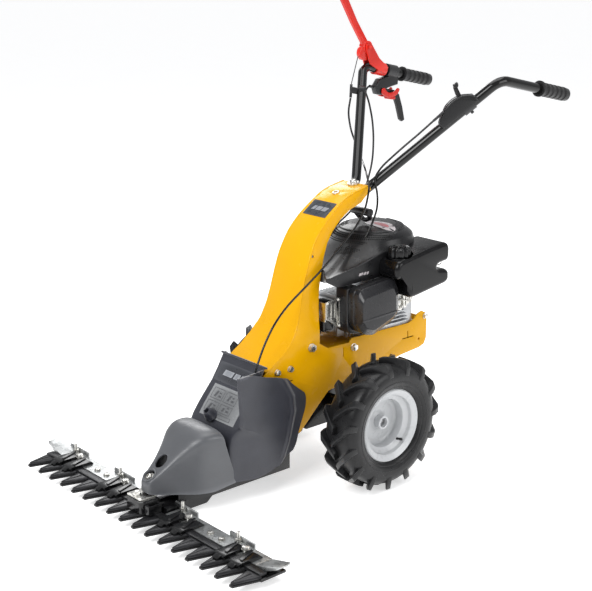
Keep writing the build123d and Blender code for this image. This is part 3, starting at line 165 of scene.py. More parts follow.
M = {
    "yellow_paint": paint("yellow_enamel", (0.71, 0.355, 0.0004), (0.68, 0.330, 0.0004), 0.20, 0.12, 0.10,
        0.16),
    "grey_plastic": plastic("shield_grey", (0.028, 0.029, 0.037), (0.037, 0.039, 0.049), 0.34),
    "pale_grey_plastic": plastic("nose_grey", (0.078, 0.081, 0.088), (0.092, 0.096, 0.104), 0.34),
    "zinc_plate": galvanised("galvanised_plate"),
    "bright_zinc": metal("zinc_fastener", (0.78, 0.77, 0.73), (0.50, 0.49, 0.46), 0.20, 0.15),
    "black_steel": paint("black_powder_coat", (0.004, 0.004, 0.0045), (0.003, 0.003, 0.0033), 0.16, 0.15,
    0.16, 0.34),
    "black_gloss": paint("black_gloss_tube", (0.004, 0.004, 0.004), (0.003, 0.003, 0.003), 0.10, 0.25, 0.06,
    0.25),
    "knife_steel": metal("blued_knife_steel", (0.030, 0.030, 0.033), (0.012, 0.012, 0.013), 0.22, 0.4,
    (1, 14, 1), 160.0, 0.6),
    "bare_steel": metal("turned_steel", (0.55, 0.55, 0.56), (0.34, 0.34, 0.35), 0.22, 0.3),
    "bronze": metal("bronze_bush", (0.62, 0.40, 0.16), (0.38, 0.22, 0.08), 0.28),
    "rim_paint": paint("rim_silver_grey", (0.50, 0.51, 0.52), (0.44, 0.45, 0.46), 0.26, 0.3),
    "tyre_rubber": rubber("tyre_black", (0.003, 0.003, 0.0035), 0.24, 0.05),
    "black_rubber": rubber("soft_rubber", (0.004, 0.004, 0.0045), 0.34, 0.08),
    "cowl_plastic": plastic("cowl_charcoal", (0.006, 0.006, 0.007), (0.010, 0.010, 0.011), 0.30, 900.0, 0.2,
    0.36),
    "tank_plastic": plastic("tank_black", (0.002, 0.002, 0.0023), (0.004, 0.004, 0.0045), 0.18, 500.0, 0.14,
    0.28),
    "filter_plastic": plastic("filter_grey", (0.010, 0.010, 0.0115), (0.016, 0.016, 0.018), 0.28, 900.0, 0.2,
    0.36),
    "cast_aluminium": metal("cast_aluminium", (0.60, 0.61, 0.62), (0.38, 0.39, 0.40), 0.42, 0.9, (1, 1, 1),
    480.0),
    "red_plastic": plastic("lever_red", (0.48, 0.012, 0.006), (0.58, 0.018, 0.009), 0.20, 600.0, 0.12, 0.4),
    # near-black painted shade: stands in for the dark inside of vent holes and slots, and behind the cradle's
    # slots
    "painted_hole_shade": rubber("painted_hole_shade", (0.002, 0.002, 0.002), 0.85, 0.0),
    "cowl_gloss": plastic("cowl_gloss", (0.012, 0.012, 0.013), (0.018, 0.018, 0.020), 0.20, 500.0, 0.08, 0.6),
    "badge_silver": plastic("badge_silver", (0.30, 0.27, 0.28), (0.38, 0.35, 0.36), 0.25, 300.0, 0.05, 0.7),
    "badge_slate": plastic("badge_slate", (0.022, 0.027, 0.034), (0.030, 0.036, 0.044), 0.26, 300.0, 0.05,
    0.5),
    "rib_sheen": plastic("rib_sheen", (0.030, 0.030, 0.032), (0.042, 0.042, 0.045), 0.22, 500.0, 0.05, 0.6),
    "badge_red": plastic("badge_red", (0.26, 0.06, 0.07), (0.34, 0.10, 0.11), 0.28, 300.0, 0.05, 0.6),
    "label_dark": plastic("label_dark", (0.030, 0.032, 0.038), (0.040, 0.042, 0.049), 0.30, 300.0, 0.05),
    "label_pale": plastic("label_pale", (0.20, 0.21, 0.23), (0.24, 0.25, 0.27), 0.34, 300.0, 0.05),
    "label_sheen": plastic("label_sheen", (0.13, 0.135, 0.14), (0.17, 0.175, 0.18), 0.22, 300.0, 0.05, 0.7),
    "label_grey": plastic("label_grey", (0.06, 0.062, 0.066), (0.08, 0.082, 0.088), 0.30, 300.0, 0.05),
    "control_plastic": plastic("control_black", (0.006, 0.006, 0.0065), (0.011, 0.011, 0.012), 0.30, 900.0,
    0.2, 0.36),
}

# The record's slot of each material that isn't a slot of its own.
SLOTS = {
    **dict.fromkeys(("badge_slate", "label_dark", "label_pale", "label_sheen", "label_grey"), "grey_plastic"),
    **dict.fromkeys(("rib_sheen", "painted_hole_shade", "cowl_gloss", "badge_silver", "badge_red"), "cowl_plastic"),
    "bright_zinc": "zinc_plate", "bare_steel": "zinc_plate", "black_gloss": "black_steel",
}


# ---------------------------------------------------------------- mesh helpers
def smooth_by_angle():
    """Geometry nodes that weld a mesh's split corners and shade it smooth below 32 degrees."""
    tree = bpy.data.node_groups.new("smooth_by_angle", "GeometryNodeTree")
    for way in ("INPUT", "OUTPUT"):
        tree.interface.new_socket("Geometry", in_out=way, socket_type="NodeSocketGeometry")
    new, link = tree.nodes.new, tree.links.new
    start, end = new("NodeGroupInput"), new("NodeGroupOutput")
    merge = new("GeometryNodeMergeByDistance")
    merge.inputs["Distance"].default_value = WELD
    faces, edges = new("GeometryNodeSetShadeSmooth"), new("GeometryNodeSetShadeSmooth")
    faces.domain, edges.domain = "FACE", "EDGE"
    edges.inputs["Shade Smooth"].default_value = False
    angle, compare = new("GeometryNodeInputMeshEdgeAngle"), new("FunctionNodeCompare")
    compare.data_type, compare.operation = "FLOAT", "GREATER_THAN"
    compare.inputs["B"].default_value = radians(32)
    link(angle.outputs["Unsigned Angle"], compare.inputs["A"])
    link(start.outputs[0], merge.inputs["Geometry"])
    link(merge.outputs["Geometry"], faces.inputs["Geometry"])
    link(faces.outputs["Geometry"], edges.inputs["Geometry"])
    link(compare.outputs["Result"], edges.inputs["Selection"])
    link(edges.outputs["Geometry"], end.inputs[0])
    return tree


SMOOTH = smooth_by_angle()


def modifier(obj, name, kind, **settings):
    added = obj.modifiers.new(name, kind)
    for key, value in settings.items():
        setattr(added, key, value)


def finish_surface(obj, bevel=0.0006, segments=2, angle=35):
    """Weld and smooth a mesh, with a small round on its sharp edges."""
    modifier(obj, "weld", "WELD", merge_threshold=WELD)
    if bevel > 0:
        modifier(obj, "edge_round", "BEVEL", width=bevel, segments=segments, limit_method="ANGLE",
                 angle_limit=radians(angle), use_clamp_overlap=True, miter_outer="MITER_ARC")
    modifier(obj, "smooth", "NODES", node_group=SMOOTH)


def set_material(obj, mat):
    obj.data.materials.clear()
    obj.data.materials.append(mat)


# Each material's CAD nodes, with the round on their edges in metres.
PLAIN_NODES = {
    "yellow_paint": {"main_frame": 0.0008},
    "grey_plastic": {"front_shield": 0.0012},
    "pale_grey_plastic": {"nose_cover": 0.001},
    "zinc_plate": {"backing_plates": 0.0008},
    "bright_zinc": {"bar_fasteners": 0.0004, "chassis_bolts": 0.0005, "knife_head_clamp": 0.0005,
        "wheel_pins": 0.0003, "heat_shield": 0.0004},
    "black_steel": {"knife_head": 0.001, "finger_bar": 0.0006, "hold_down_clips": 0.0006,
        "bar_carrier": 0.002, "under_rails": 0.0008, "crank_case": 0.001, "gearbox_housing": 0.0015,
        "muffler": 0.001, "cutter_idler": 0.0004, "traction_idler": 0.0004},
    "bare_steel": {"bar_skids": 0.001, "rocker_arm": 0.0008, "rocker_pivot": 0.0004,
        "cutter_crank": 0.0004, "worm_shaft": 0.0003, "axle": 0.0006, "crankshaft": 0.0004,
        "cutter_pulley": 0.0004, "engine_pulleys": 0.0004, "traction_pulley": 0.0004},
    "black_gloss": {"handle_tube_left": 0.0, "handle_tube_right": 0.0, "cutter_cable": 0.0,
        "traction_cable": 0.0, "throttle_cable": 0.0},
    "knife_steel": {"knife": 0.0004},
    "bronze": {"worm_wheel": 0.0003, "bearings": 0.0003},
    "rim_paint": {"rim_left": 0.0005, "rim_right": 0.0005},
    "tyre_rubber": {"tyre_left": 0.0012, "tyre_right": 0.0012},
    "black_rubber": {"belts": 0.0006, "grips": 0.001},
    "cowl_plastic": {"blower_housing": 0.001, "starter_handle": 0.001, "air_filter_base": 0.001,
        "dipstick": 0.0006},
    "tank_plastic": {"fuel_tank": 0.002, "fuel_cap": 0.0005},
    "filter_plastic": {"air_filter_cover": 0.003},
    "cast_aluminium": {"engine_block": 0.001, "carburettor": 0.0005},
    "red_plastic": {"cutter_lever": 0.001, "cutter_lever_bracket": 0.001, "lever_latch": 0.0006},
    "control_plastic": {"traction_lever": 0.001, "throttle_housing": 0.001,
        "throttle_lever": 0.0006, "cable_stop": 0.0006, "traction_lever_housing": 0.001},
}
for material, widths in PLAIN_NODES.items():
    for node, width in widths.items():
        set_material(NODES[node], M[material])
        finish_surface(NODES[node], width)


# ---------------------------------------------------------------- piece helpers
def raw(name, verts, faces):
    """New mesh object with its faces turned outwards."""
    mesh = bpy.data.meshes.new(name)
    mesh.from_pydata([tuple(v) for v in verts], [], faces)
    clean = bmesh.new()
    clean.from_mesh(mesh)
    bmesh.ops.remove_doubles(clean, verts=clean.verts, dist=0.00001)
    bmesh.ops.recalc_face_normals(clean, faces=clean.faces)
    clean.to_mesh(mesh)
    clean.free()
    obj = bpy.data.objects.new(name, mesh)
    bpy.context.scene.collection.objects.link(obj)
    return obj


def dress(obj, material, body="chassis", bevel=0.0, segments=2, angle=35):
    """Give a piece its material, its rounded edges and its body."""
    set_material(obj, M[material])
    finish_surface(obj, bevel, segments, angle)
    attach(obj, body)
    return obj


def bake(obj):
    """Turn a mesh's modifiers into plain vertices."""
    result = bpy.data.meshes.new_from_object(obj.evaluated_get(bpy.context.evaluated_depsgraph_get()))
    obj.modifiers.clear()
    obj.data = result
    return obj


def walled(obj, thickness, offset=-1.0, even=True):
    """Turn a sheet into a wall of that thickness."""
    modifier(obj, "wall", "SOLIDIFY", thickness=thickness, offset=offset, use_even_offset=even)
    return bake(obj)


def carve(obj, tools):
    """Cut a piece with closed tools, which are then thrown away."""
    for tool in tools:
        modifier(obj, "cut", "BOOLEAN", object=tool, operation="DIFFERENCE", solver="EXACT")
        bake(obj)
        bpy.data.objects.remove(tool)


def grid_faces(rows, columns, wrap_columns=False, wrap_rows=False):
    """Quads between rows of points, closed round either way."""
    faces = []
    for i in range(rows if wrap_rows else rows - 1):
        for j in range(columns if wrap_columns else columns - 1):
            k, m = (j + 1) % columns, ((i + 1) % rows) * columns
            faces.append((i * columns + j, i * columns + k, m + k, m + j))
    return faces


def end_caps(rows, columns):
    """Faces over the first and the last row of points."""
    return [tuple(range(columns)), tuple(range((rows - 1) * columns, rows * columns))]


def curve_through(points, per_span=5, closed=True):
    """Catmull-Rom samples through a closed or open list of points of any size."""
    n = len(points)
    result = []
    for i in range(n if closed else n - 1):
        if closed:
            quad = [points[(i + k) % n] for k in (-1, 0, 1, 2)]
        else:
            quad = [points[max(i - 1, 0)], points[i], points[i + 1], points[min(i + 2, n - 1)]]
        for s in range(per_span):
            t = s / per_span
            result.append(tuple(0.5 * (2 * b + (c - a) * t + (2 * a - 5 * b + 4 * c - d) * t * t
                                       + (3 * b - a - 3 * c + d) * t ** 3) for a, b, c, d in zip(*quad)))
    if not closed:
        result.append(tuple(points[-1]))
    return result


def rounded(outline, radius, steps=5):
    """Closed outline with each corner replaced by a soft arc of about that size."""
    result = []
    n = len(outline)
    for i in range(n):
        before, corner, after = Vector(outline[i - 1]), Vector(outline[i]), Vector(outline[(i + 1) % n])
        reach = min(radius, (before - corner).length * 0.45, (after - corner).length * 0.45)
        p = corner + (before - corner).normalized() * reach
        q = corner + (after - corner).normalized() * reach
        for s in range(steps + 1):
            t = s / steps
            result.append(tuple(p * (1 - t) ** 2 + corner * 2 * t * (1 - t) + q * t * t))
    return result


def smoothstep(low, high, value):
    t = min(max((value - low) / (high - low), 0.0), 1.0)
    return t * t * (3 - 2 * t)


def value_at(points, key):
    """Second value of a list of (key, value) pairs, straight between its entries."""
    if key <= points[0][0]:
        return points[0][1]
    for (k0, v0), (k1, v1) in zip(points, points[1:]):
        if key <= k1:
            return v0 + (v1 - v0) * (key - k0) / (k1 - k0)
    return points[-1][1]


def slab(name, outline, place, depth):
    """Closed block between two copies of an outline; place(u, v, w) gives the point in metres."""
    n = len(outline)
    verts = [place(u, v, depth[0]) for u, v in outline] + [place(u, v, depth[1]) for u, v in outline]
    faces = [tuple(range(n)), tuple(range(2 * n - 1, n - 1, -1))]
    faces += [(i, (i + 1) % n, n + (i + 1) % n, n + i) for i in range(n)]
    return raw(name, verts, faces)


def inset(outline, distance):
    """Closed outline moved inwards along its own normals."""
    count = len(outline)
    area = sum(a[0] * b[1] - b[0] * a[1] for a, b in zip(outline, outline[1:] + outline[:1]))
    turn = 1 if area > 0 else -1
    result = []
    for i in range(count):
        (x0, y0), (x1, y1) = outline[i - 1], outline[(i + 1) % count]
        length = hypot(x1 - x0, y1 - y0) or 1.0
        result.append((outline[i][0] - turn * (y1 - y0) / length * distance,
            outline[i][1] + turn * (x1 - x0) / length * distance))
    return result


def pillow(name, outline, place, depth, radii, steps=6):
    """Closed block along an outline whose two faces are rounded over, each by its own radius."""
    levels = []
    for end, side, radius in ((depth[0], 1, radii[0]), (depth[1], -1, radii[1])):
        arc = [pi / 2 * t / steps for t in range(steps + 1)]
        levels += [(end + side * radius * (1 - cos(a)),
            radius * (1 - sin(a))) for a in (arc if side > 0 else arc[::-1])]
    verts = []
    for w, inwards in levels:
        verts += [place(u, v, w) for u, v in inset(outline, inwards)]
    count = len(outline)
    faces = grid_faces(len(levels), count, wrap_columns=True)
    faces += end_caps(len(levels), count)
    return raw(name, verts, faces)


def sideways(y, z, x):
    return at(x, y, z)


def plate(name, outline, depth, material, bevel, corner=None, segments=2, body="chassis"):
    """Flat piece: outline in (y, z), depth in x; corner is the outline's radius and its steps."""
    outline = rounded(outline, *corner) if corner else outline
    return dress(slab(name, outline, sideways, depth), material, body, bevel, segments)


def spun(name, profile, centre, axis, steps=96, closed=True):
    """Surface of revolution from (along, radius) millimetres about an axis through centre."""
    axis = Vector(axis).normalized()
    side = axis.orthogonal().normalized()
    other = axis.cross(side)
    verts = []
    for i in range(steps):
        angle = 2 * pi * i / steps
        out = side * cos(angle) + other * sin(angle)
        for along, radius in profile:
            verts.append(centre + axis * (along * MM) + out * (radius * MM))
    return raw(name, verts, grid_faces(steps, len(profile), wrap_columns=closed, wrap_rows=True))


def route(name, points, radius, material, body="chassis"):
    """Round wire along a smooth line of millimetre points."""
    curve = bpy.data.curves.new(name, "CURVE")
    curve.dimensions, curve.use_fill_caps = "3D", True
    curve.bevel_depth, curve.bevel_resolution, curve.resolution_u = radius * MM, 4, 8
    spline = curve.splines.new("NURBS")
    spline.points.add(len(points) - 1)
    for target, point in zip(spline.points, points):
        target.co = (*at(*point), 1.0)
    spline.order_u = 3
    spline.use_endpoint_u = True
    obj = bpy.data.objects.new(name, curve)
    bpy.context.scene.collection.objects.link(obj)
    curve.materials.append(M[material])
    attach(obj, body)
    return obj


def screw(name, place, direction, across, material="bright_zinc", body="chassis", socket=True):
    """Domed screw head with a hexagon socket on a washer, its seat at place in millimetres."""
    r = across / 2
    head = [(0, 0), (0, r * 1.55), (0.9, r * 1.55), (1.2, r * 1.4), (1.2, r), (r * 0.45, r * 0.97),
        (r * 0.85, r * 0.72), (r, r * 0.45)]
    head += [(r, r * 0.42), (r * 0.5, r * 0.40), (r * 0.45, 0)] if socket else [(r * 1.04, 0)]
    return dress(spun(name, head, at(*place), direction, 24, closed=False), material, body, 0.0)


# ---------------------------------------------------------------- wheels
WHEELS = {"left": 220.0, "right": -178.0}
LUGS = 15
CARCASS = [(0, 151.0), (14, 150.6), (27, 149.2), (36, 146.2), (42.5, 141.0), (46.6, 134), (48.6, 126)]


def tyre(side):
    """Tractor tyre: soft round carcass with sidewall steps, and slanted curved lugs that meet in a V."""
    hub = at(WHEELS[side], 0, AXLE_Z)
    half = CARCASS + [(49, 119.5), (48.0, 110), (45.6, 103), (43.8, 101.4), (43.6, 99.6), (41.6, 96.2),
        (38.2, 93.0), (35.6, 91.2),
                      (33.4, 88), (31.0, 80), (29.0, 78)]
    profile = curve_through([(-x, r) for x, r in half[:0:-1]] + half, 3, closed=False)
    inner = [(22, 78), (27, 96), (40, 108), (42, 122), (38, 134), (20, 142), (0, 143)]
    profile += inner + [(-x, r) for x, r in inner[-2::-1]]
    carcass = dress(spun(f"tyre_{side}_carcass", profile, hub, (1, 0, 0), 120), "tyre_rubber", "wheels")
    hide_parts(f"tyre_{side}")
    rows = 13
    section = [(-1.30, 0), (-1.0, 1), (-0.86, 2), (0.86, 2), (1.0, 1), (1.30, 0)]
    for flank in (-1, 1):
        verts, faces = [], []
        for i in range(LUGS):
            turn = 2 * pi * (i + (0.5 if flank < 0 else 0.0)) / LUGS
            base = len(verts)
            for r in range(rows):
                t = r / (rows - 1)
                down = smoothstep(0.70, 1.0, t)
                x = min(-2.5 + 54.0 * t, 49.0 - 0.25 * (1 - down))
                along = 46.0 * min(t / 0.86, 1.0) ** 0.85 + 3.0 * down
                width = 7.8 + 1.2 * down
                top = 165.0 - 1.6 * t ** 3 - 33.0 * max(0.0, (t - 0.80) / 0.20) ** 1.2
                foot = value_at(CARCASS, x) - 5.0 if t < 0.8 else min(value_at(CARCASS, x) - 5.0, top - 3.0)
                for u, level in section:
                    radius = (foot, top - 1.5, top)[level]
                    angle = turn + (along + u * width) / 158.0
                    inward = 0.0 if level == 2 or t < 0.8 else 1.2 * (2 - level)
                    verts.append(hub + MM * Vector((flank * (x - inward), radius * sin(angle),
                        radius * cos(angle))))
            n = len(section)
            for r in range(rows - 1):
                for k in range(n - 1):
                    a = base + r * n + k
                    faces.append((a, a + 1, a + n + 1, a + n))
                faces.append((base + r * n, base + (r + 1) * n, base + (r + 1) * n + n - 1,
                    base + r * n + n - 1))
            faces.append(tuple(base + k for k in range(n)))
            faces.append(tuple(base + (rows - 1) * n + k for k in range(n)))
        lugs = raw(f"tyre_{side}_lugs_{'in' if flank < 0 else 'out'}", verts, faces)
        dress(lugs, "tyre_rubber", "wheels", 0.0011, 2, 40)
        bead = [(flank * x, r) for x, r in ((47.4, 113.6), (49.0, 112.6), (49.0, 111.2), (47.2, 110.2))]
        dress(spun(f"tyre_{side}_ring_{'in' if flank < 0 else 'out'}", bead, hub, (1, 0, 0), 96),
            "tyre_rubber", "wheels")


def rim(side):
    """Pressed rim: rolled flanges, deep drop centre, dished disc, weld bead, hub tube and valve."""
    sign = 1 if side == "left" else -1
    hub, axis = at(WHEELS[side], 0, AXLE_Z), (sign, 0, 0)
    half = [(38.2, 89.6), (38.9, 88.4), (38.2, 86.8), (36.6, 84.6), (35.0, 81.4), (33.4, 77.2), (31.4, 75.0),
        (27, 74.0), (22.5, 73.2),
            (19.6, 70), (17.8, 64.6), (15.6, 61.0), (10, 59.8)]
    back = [(x - (2.6 if x > 33 else 0.2), r + 1.9) for x, r in half]
    profile = half + [(-x, r) for x, r in half[::-1]] + [(-x, r) for x, r in back] + back[::-1]
    disc = curve_through([(-3, 61.5), (-7, 59.6), (-10.6, 55.6), (-11.8, 50), (-11.9, 40), (-11.6, 30),
        (-10.8, 24), (-8.4, 20.2),
                          (-7.6, 16.8)], 4, closed=False)
    disc += [(-13, 16.8), (-13.5, 22), (-14.2, 32), (-14.3, 50), (-13.2, 57), (-9, 61.8), (-5, 63)]
    tube = [(-70, 17), (9.8, 17), (10.8, 16.2), (11, 15.4), (11, 12.4), (10.2, 11.5), (-70, 11.5)]
    weld = curve_through([(-11.6, 22.4), (-9.2, 20.6), (-7.0, 17.4), (-9.5, 16.6), (-12.2, 17.4)], 4)
    for part, line, steps in (("barrel", profile, 128), ("disc", disc, 96), ("hub", tube, 64),
                              ("weld", weld, 80)):
        piece = dress(spun(f"rim_{side}_{part}", line, hub, axis, steps), "rim_paint", "wheels")
        if part == "barrel":
            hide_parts(f"rim_{side}")
    stem = hub + Vector((sign * 0.012, 0.042, -0.052))
    valve = [(0, 0), (0, 4.4), (4, 4.2), (7, 3.1), (18, 2.9), (19, 3.6), (25, 3.6), (26, 3.0), (26, 0)]
    dress(spun(f"rim_{side}_valve", valve, stem, (sign, -0.22, 0.28), 24, closed=False), "black_rubber",
        "wheels")


# ---------------------------------------------------------------- nose cover
NOSE = [(-547, 10, 88, 69), (-544.5, 15, 94, 67.5), (-538, 19.5, 101, 66), (-522, 25, 112, 62),
    (-500, 32, 129, 58), (-478, 41, 149, 55),
        (-458, 52.5, 168, 53), (-440, 64, 185, 52), (-420, 73, 195.5, 52), (-400, 78, 198.5, 52), (-375, 81.5,
            195, 56),
        (-335, 84, 181, 61)]
NOSE_REAR_EDGE = [(-380, 215), (-374, 190), (-368, 161), (-346, 84), (-341, 40), (-300, 40), (-300, 215)]
NOSE_HOLES = [((0, -531, 105), 14.5, 1.0), ((0, -497, 132), 15.5, 1.2)]
NOSE_FACING = (0, -0.55, 0.83)


def nose():
    """Rounded beak: crowned top, a crease from the bolt holes to each shoulder, upright walls."""
    rows = curve_through(NOSE, 6, closed=False)
    half_count = 22
    verts = []
    for y, width, top, low in rows:
        height = top - low
        right = []
        for j in range(half_count):
            s = j / (half_count - 1)
            if s < 0.6:
                turn = s / 0.6 * pi / 2
                x = 0.96 * width * sin(turn) ** 0.58
                z = top - 0.25 * height * (1 - cos(turn) ** 0.48)
            else:
                t = (s - 0.6) / 0.4
                x = width * (0.96 + 0.02 * t + 0.02 * smoothstep(0.86, 1.0, t))
                z = top - height * (0.25 + 0.75 * t)
            right.append((x, z))
        verts += [at(-x, y, z) for x, z in right[:0:-1]] + [at(x, y, z) for x, z in right]
    around = 2 * half_count - 1
    shell = raw("nose_shell", verts, grid_faces(len(rows), around) + [tuple(range(around))])
    walled(shell, 0.0036)
    tools = [slab("edge_tool", NOSE_REAR_EDGE, sideways, (-120, 120))]
    for i, (spot, radius, stretch) in enumerate(NOSE_HOLES):
        hole = spun(f"hole_{i}", [(-40, 0), (-40, radius), (40, radius), (40, 0)], Vector((0, 0, 0)),
            (0, 0, 1), 40, closed=False)
        hole.data.transform(Matrix.Diagonal((1.0, stretch, 1.0, 1.0)))
        hole.data.transform(Matrix.Translation(at(*spot)) @ Vector(NOSE_FACING).to_track_quat("Z",
            "Y").to_matrix().to_4x4())
        tools.append(hole)
    carve(shell, tools)
    dress(shell, "pale_grey_plastic", "chassis", 0.0012, 3)
    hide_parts("nose_cover")
    ring = curve_through([(0.4, 14.0), (2.2, 14.8), (2.4, 16.4), (0.2, 18.2), (-3.0, 17.2), (-4.0, 14.0)], 4)
    collar = spun("nose_bolt_collar", ring, at(0, -531, 106.5), NOSE_FACING, 48)
    dress(collar, "pale_grey_plastic")
    screw("nose_bolt", (0, -531, 101), NOSE_FACING, 16)


# ---------------------------------------------------------------- shield
SHIELD_LOW, SHIELD_HIGH = 60, 322
WING_X = 99.0             # the wing's plane
NEAR_X = -86              # the shield's other side
FACE_LINE = [(60, -366), (120, -360), (150, -354), (172, -347), (190, -338), (212, -322), (258, -284),
    (290, -264), (322, -246)]
WING_FRONT = [(60, -368), (120, -361), (150, -355), (172, -349), (190, -342), (215, -338), (260, -342),
    (300, -345), (322, -346)]
WING_TOP = [(-338, 321), (-320, 323), (-296, 320), (-262, 308), (-232, 300), (-192, 287), (-174, 270),
    (-156, 255), (-135, 238)]
WING_REAR = [(-171, 98), (-161, 114), (-151, 147), (-140, 176), (-131, 202), (-130, 226), (-135, 238)]
WING_FOOT = [(-287, 60), (-258, 66), (-225, 75), (-196, 87), (-171, 98)]
RIB_LINE = [(60, -232), (90, -208), (130, -192), (200, -174), (240, -178), (275, -198), (300, -214)]
NEAR_SIDE_REAR = [(60, -366), (88, -338), (92, -225), (100, -175), (130, -160), (240, -170), (290, -200),
    (322, -236)]


def along(points, share):
    """Point at a share of the way through evenly numbered points."""
    place = min(max(share, 0.0), 1.0) * (len(points) - 1)
    i = min(int(place), len(points) - 2)
    return tuple(a + (b - a) * (place - i) for a, b in zip(points[i], points[i + 1]))


def shield():
    """Guard below the column: a sloping face that sweeps round into a tall wing on the left side."""
    rows, side_steps = 60, 44
    top, rear, foot = (curve_through(line, 4, closed=False) for line in (WING_TOP, WING_REAR, WING_FOOT))
    fronts = []
    for i in range(rows):
        z = SHIELD_LOW + (SHIELD_HIGH - SHIELD_LOW) * i / (rows - 1)
        face, front = value_at(FACE_LINE, z), value_at(WING_FRONT, z)
        fold = 1 - smoothstep(160, 204, z)
        raised = [(80, 0.06), (88.5, 0.34), (92.0, 0.74), (94.0, 0.985)]
        raised = [(x, face + (front - face) * part) for x, part in raised] + [(WING_X, front + 7)]
        flush = [(74, face + 3), (80, face + 13), (86, face + 32), (93.5, face + 54), (WING_X, face + 78)]
        near = max(value_at(NEAR_SIDE_REAR, z), face + 3)
        keys = [(NEAR_X, near), (NEAR_X, (near + face + 9) / 2), (NEAR_X, face + 9), (-82, face + 1),
            (-70, face), (0, face), (40, face), (64, face)]
        keys += [(a + (c - a) * fold, b + (d - b) * fold) for (a, b), (c, d) in zip(raised, flush)]
        fronts.append([(x, y, z) for x, y in curve_through(keys, 5, closed=False)])
    verts = []
    low, high = fronts[0][-1][1:], fronts[-1][-1][1:]
    for i, section in enumerate(fronts):
        t = i / (rows - 1)
        left, right = section[-1][1:], along(rear, t)
        for k in range(1, side_steps + 1):
            f = k / side_steps
            bottom, above = along([low] + foot[1:], f), along([high] + top[1:], f)
            y, z = ((1 - t) * bottom[n] + t * above[n] + (1 - f) * left[n] + f * right[n]
                    - (1 - f) * (1 - t) * low[n] - (1 - f) * t * high[n]
                    - f * (1 - t) * foot[-1][n] - f * t * top[-1][n] for n in (0, 1))
            rib = value_at(RIB_LINE, z)
            crest = exp(-((y - rib + 3) / 6.0) ** 2)
            drop = smoothstep(rib + 2, rib + 14, y)
            bow = 2.0 * sin(pi * min(max((y - left[0]) / (rib - left[0]), 0), 1))
            section.append((WING_X + (bow + 2.6 * crest - 7.0 * drop) * smoothstep(0, 0.08, f), y, z))
        verts += [at(*point) for point in section]
    columns = len(fronts[0])
    hidden_row, face_columns = 9, 45
    faces = [f for f in grid_faces(rows,
        columns) if f[0] // columns >= hidden_row or f[0] % columns >= face_columns]
    shell = dress(walled(raw("shield_shell", verts, faces), 0.0026, -1.0, False), "grey_plastic", "chassis",
        0.0009, 3, 40)
    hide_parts("front_shield")
    lip = curve_through([(0, -2.0), (2.2, -3.2), (4.6, -2.2), (5.2, 0.4), (3.0, 2.0), (0.4, 1.0)], 3)
    count = len(lip)
    verts = []
    stations = [NEAR_X + 170 * k / 20 for k in range(21)]
    for x in stations:
        verts += [at(x, -246.4 + v, 320 + u) for u, v in lip]
    faces = grid_faces(len(stations), count, wrap_columns=True) + end_caps(len(stations), count)
    dress(raw("shield_top_lip", verts, faces), "grey_plastic")
    cone = [(0, 0), (0, 17.5), (4, 16.2), (12, 13.2), (19, 10.6), (22, 8.4), (21, 6.6), (8, 5.4), (6, 0)]
    dress(spun("shield_boss", cone, at(-18, -336, 198), (0, -0.66, 0.75), 40, closed=False), "grey_plastic")


def on_face(x, z, lift):
    """Point on the shield's sloping face, raised off it by lift."""
    return at(x, value_at(FACE_LINE, z) - lift * 0.84, z + lift * 0.54)


def decal(name, x0, x1, z0, z1, material, lift, thickness=0.25, slant=0.0):
    """Thin film on the shield's face; slant leans its sides."""
    steps, across = 10, 4
    verts = []
    for i in range(steps + 1):
        z = z0 + (z1 - z0) * i / steps
        lean = slant * (z - z0)
        verts += [on_face(x0 + lean + (x1 - x0) * j / across, z, lift) for j in range(across + 1)]
    film = walled(raw(name, verts, grid_faces(steps + 1, across + 1)), thickness * MM, 0.0)
    return dress(film, material)


def shield_labels():
    """Dark name band without a name, and a grey sticker with a grid of warning pictograms."""
    decal("shield_band", -77, 76, 262, 304, "label_dark", 0.35)
    for k, (x, width) in enumerate(((-52, 34), (-12, 18), (12, 9))):
        decal(f"shield_band_mark_{k}", x, x + width, 277, 289, "label_pale", 0.6, slant=0.35)
    decal("shield_sticker", -64, 66, 192, 256, "label_sheen", 0.35)
    for i, (x0, x1, z0, z1) in enumerate(((-56, -14, 228, 250), (-8, 36, 228, 250), (-56, -14, 203, 224),
        (-8, 36, 207, 224),
                                          (-22, 46, 196, 204))):
        edge = 1.2
        for j, frame_box in enumerate(((x0, x1, z0, z0 + edge), (x0, x1, z1 - edge, z1),
            (x0, x0 + edge, z0, z1),
                                       (x1 - edge, x1, z0, z1))):
            decal(f"sticker_frame_{i}_{j}", *frame_box, "label_grey", 0.6)
        if z1 - z0 > 12:
            middle = (x0 + x1) / 2
            decal(f"sticker_sign_{i}", middle - 12, middle - 4, z0 + 4, z1 - 5, "label_grey", 0.6, slant=0.4)
            decal(f"sticker_note_{i}", middle + 3, middle + 15, z0 + 5, z0 + 9, "label_grey", 0.6)
            decal(f"sticker_line_{i}", middle + 3, middle + 12, z0 + 12, z0 + 15, "label_grey", 0.6)


# ---------------------------------------------------------------- engine
FAN_Y = 178.0             # the fan's axis along the machine
AROUND = 144              # directions round the fan in which the cowl is sampled
GUARD_RADIUS, GUARD_FOOT = 104, 574   # the round fan guard's foot: its radius and height
COWL_PLAN = [(-84, -34), (60, -34), (74, -61), (94, -61), (103, -48), (107, 100), (112, 178), (98, 235),
    (60, 276), (0, 292), (-60, 276),
             (-98, 235), (-112, 178), (-106, 90), (-100, 20)]
DOME = [(0, 600), (44, 600), (62, 598), (78, 593), (83, 591.5), (85, 588), (89, 586.5), (97, 581), (104, 574)]
CREASE = [(-62, 507), (-47, 516), (23, 527), (99, 549), (178, 556), (292, 552)]
COWL_FOOT = [(-62, 500), (-46, 487), (-20, 485), (20, 487), (106, 489), (292, 489)]


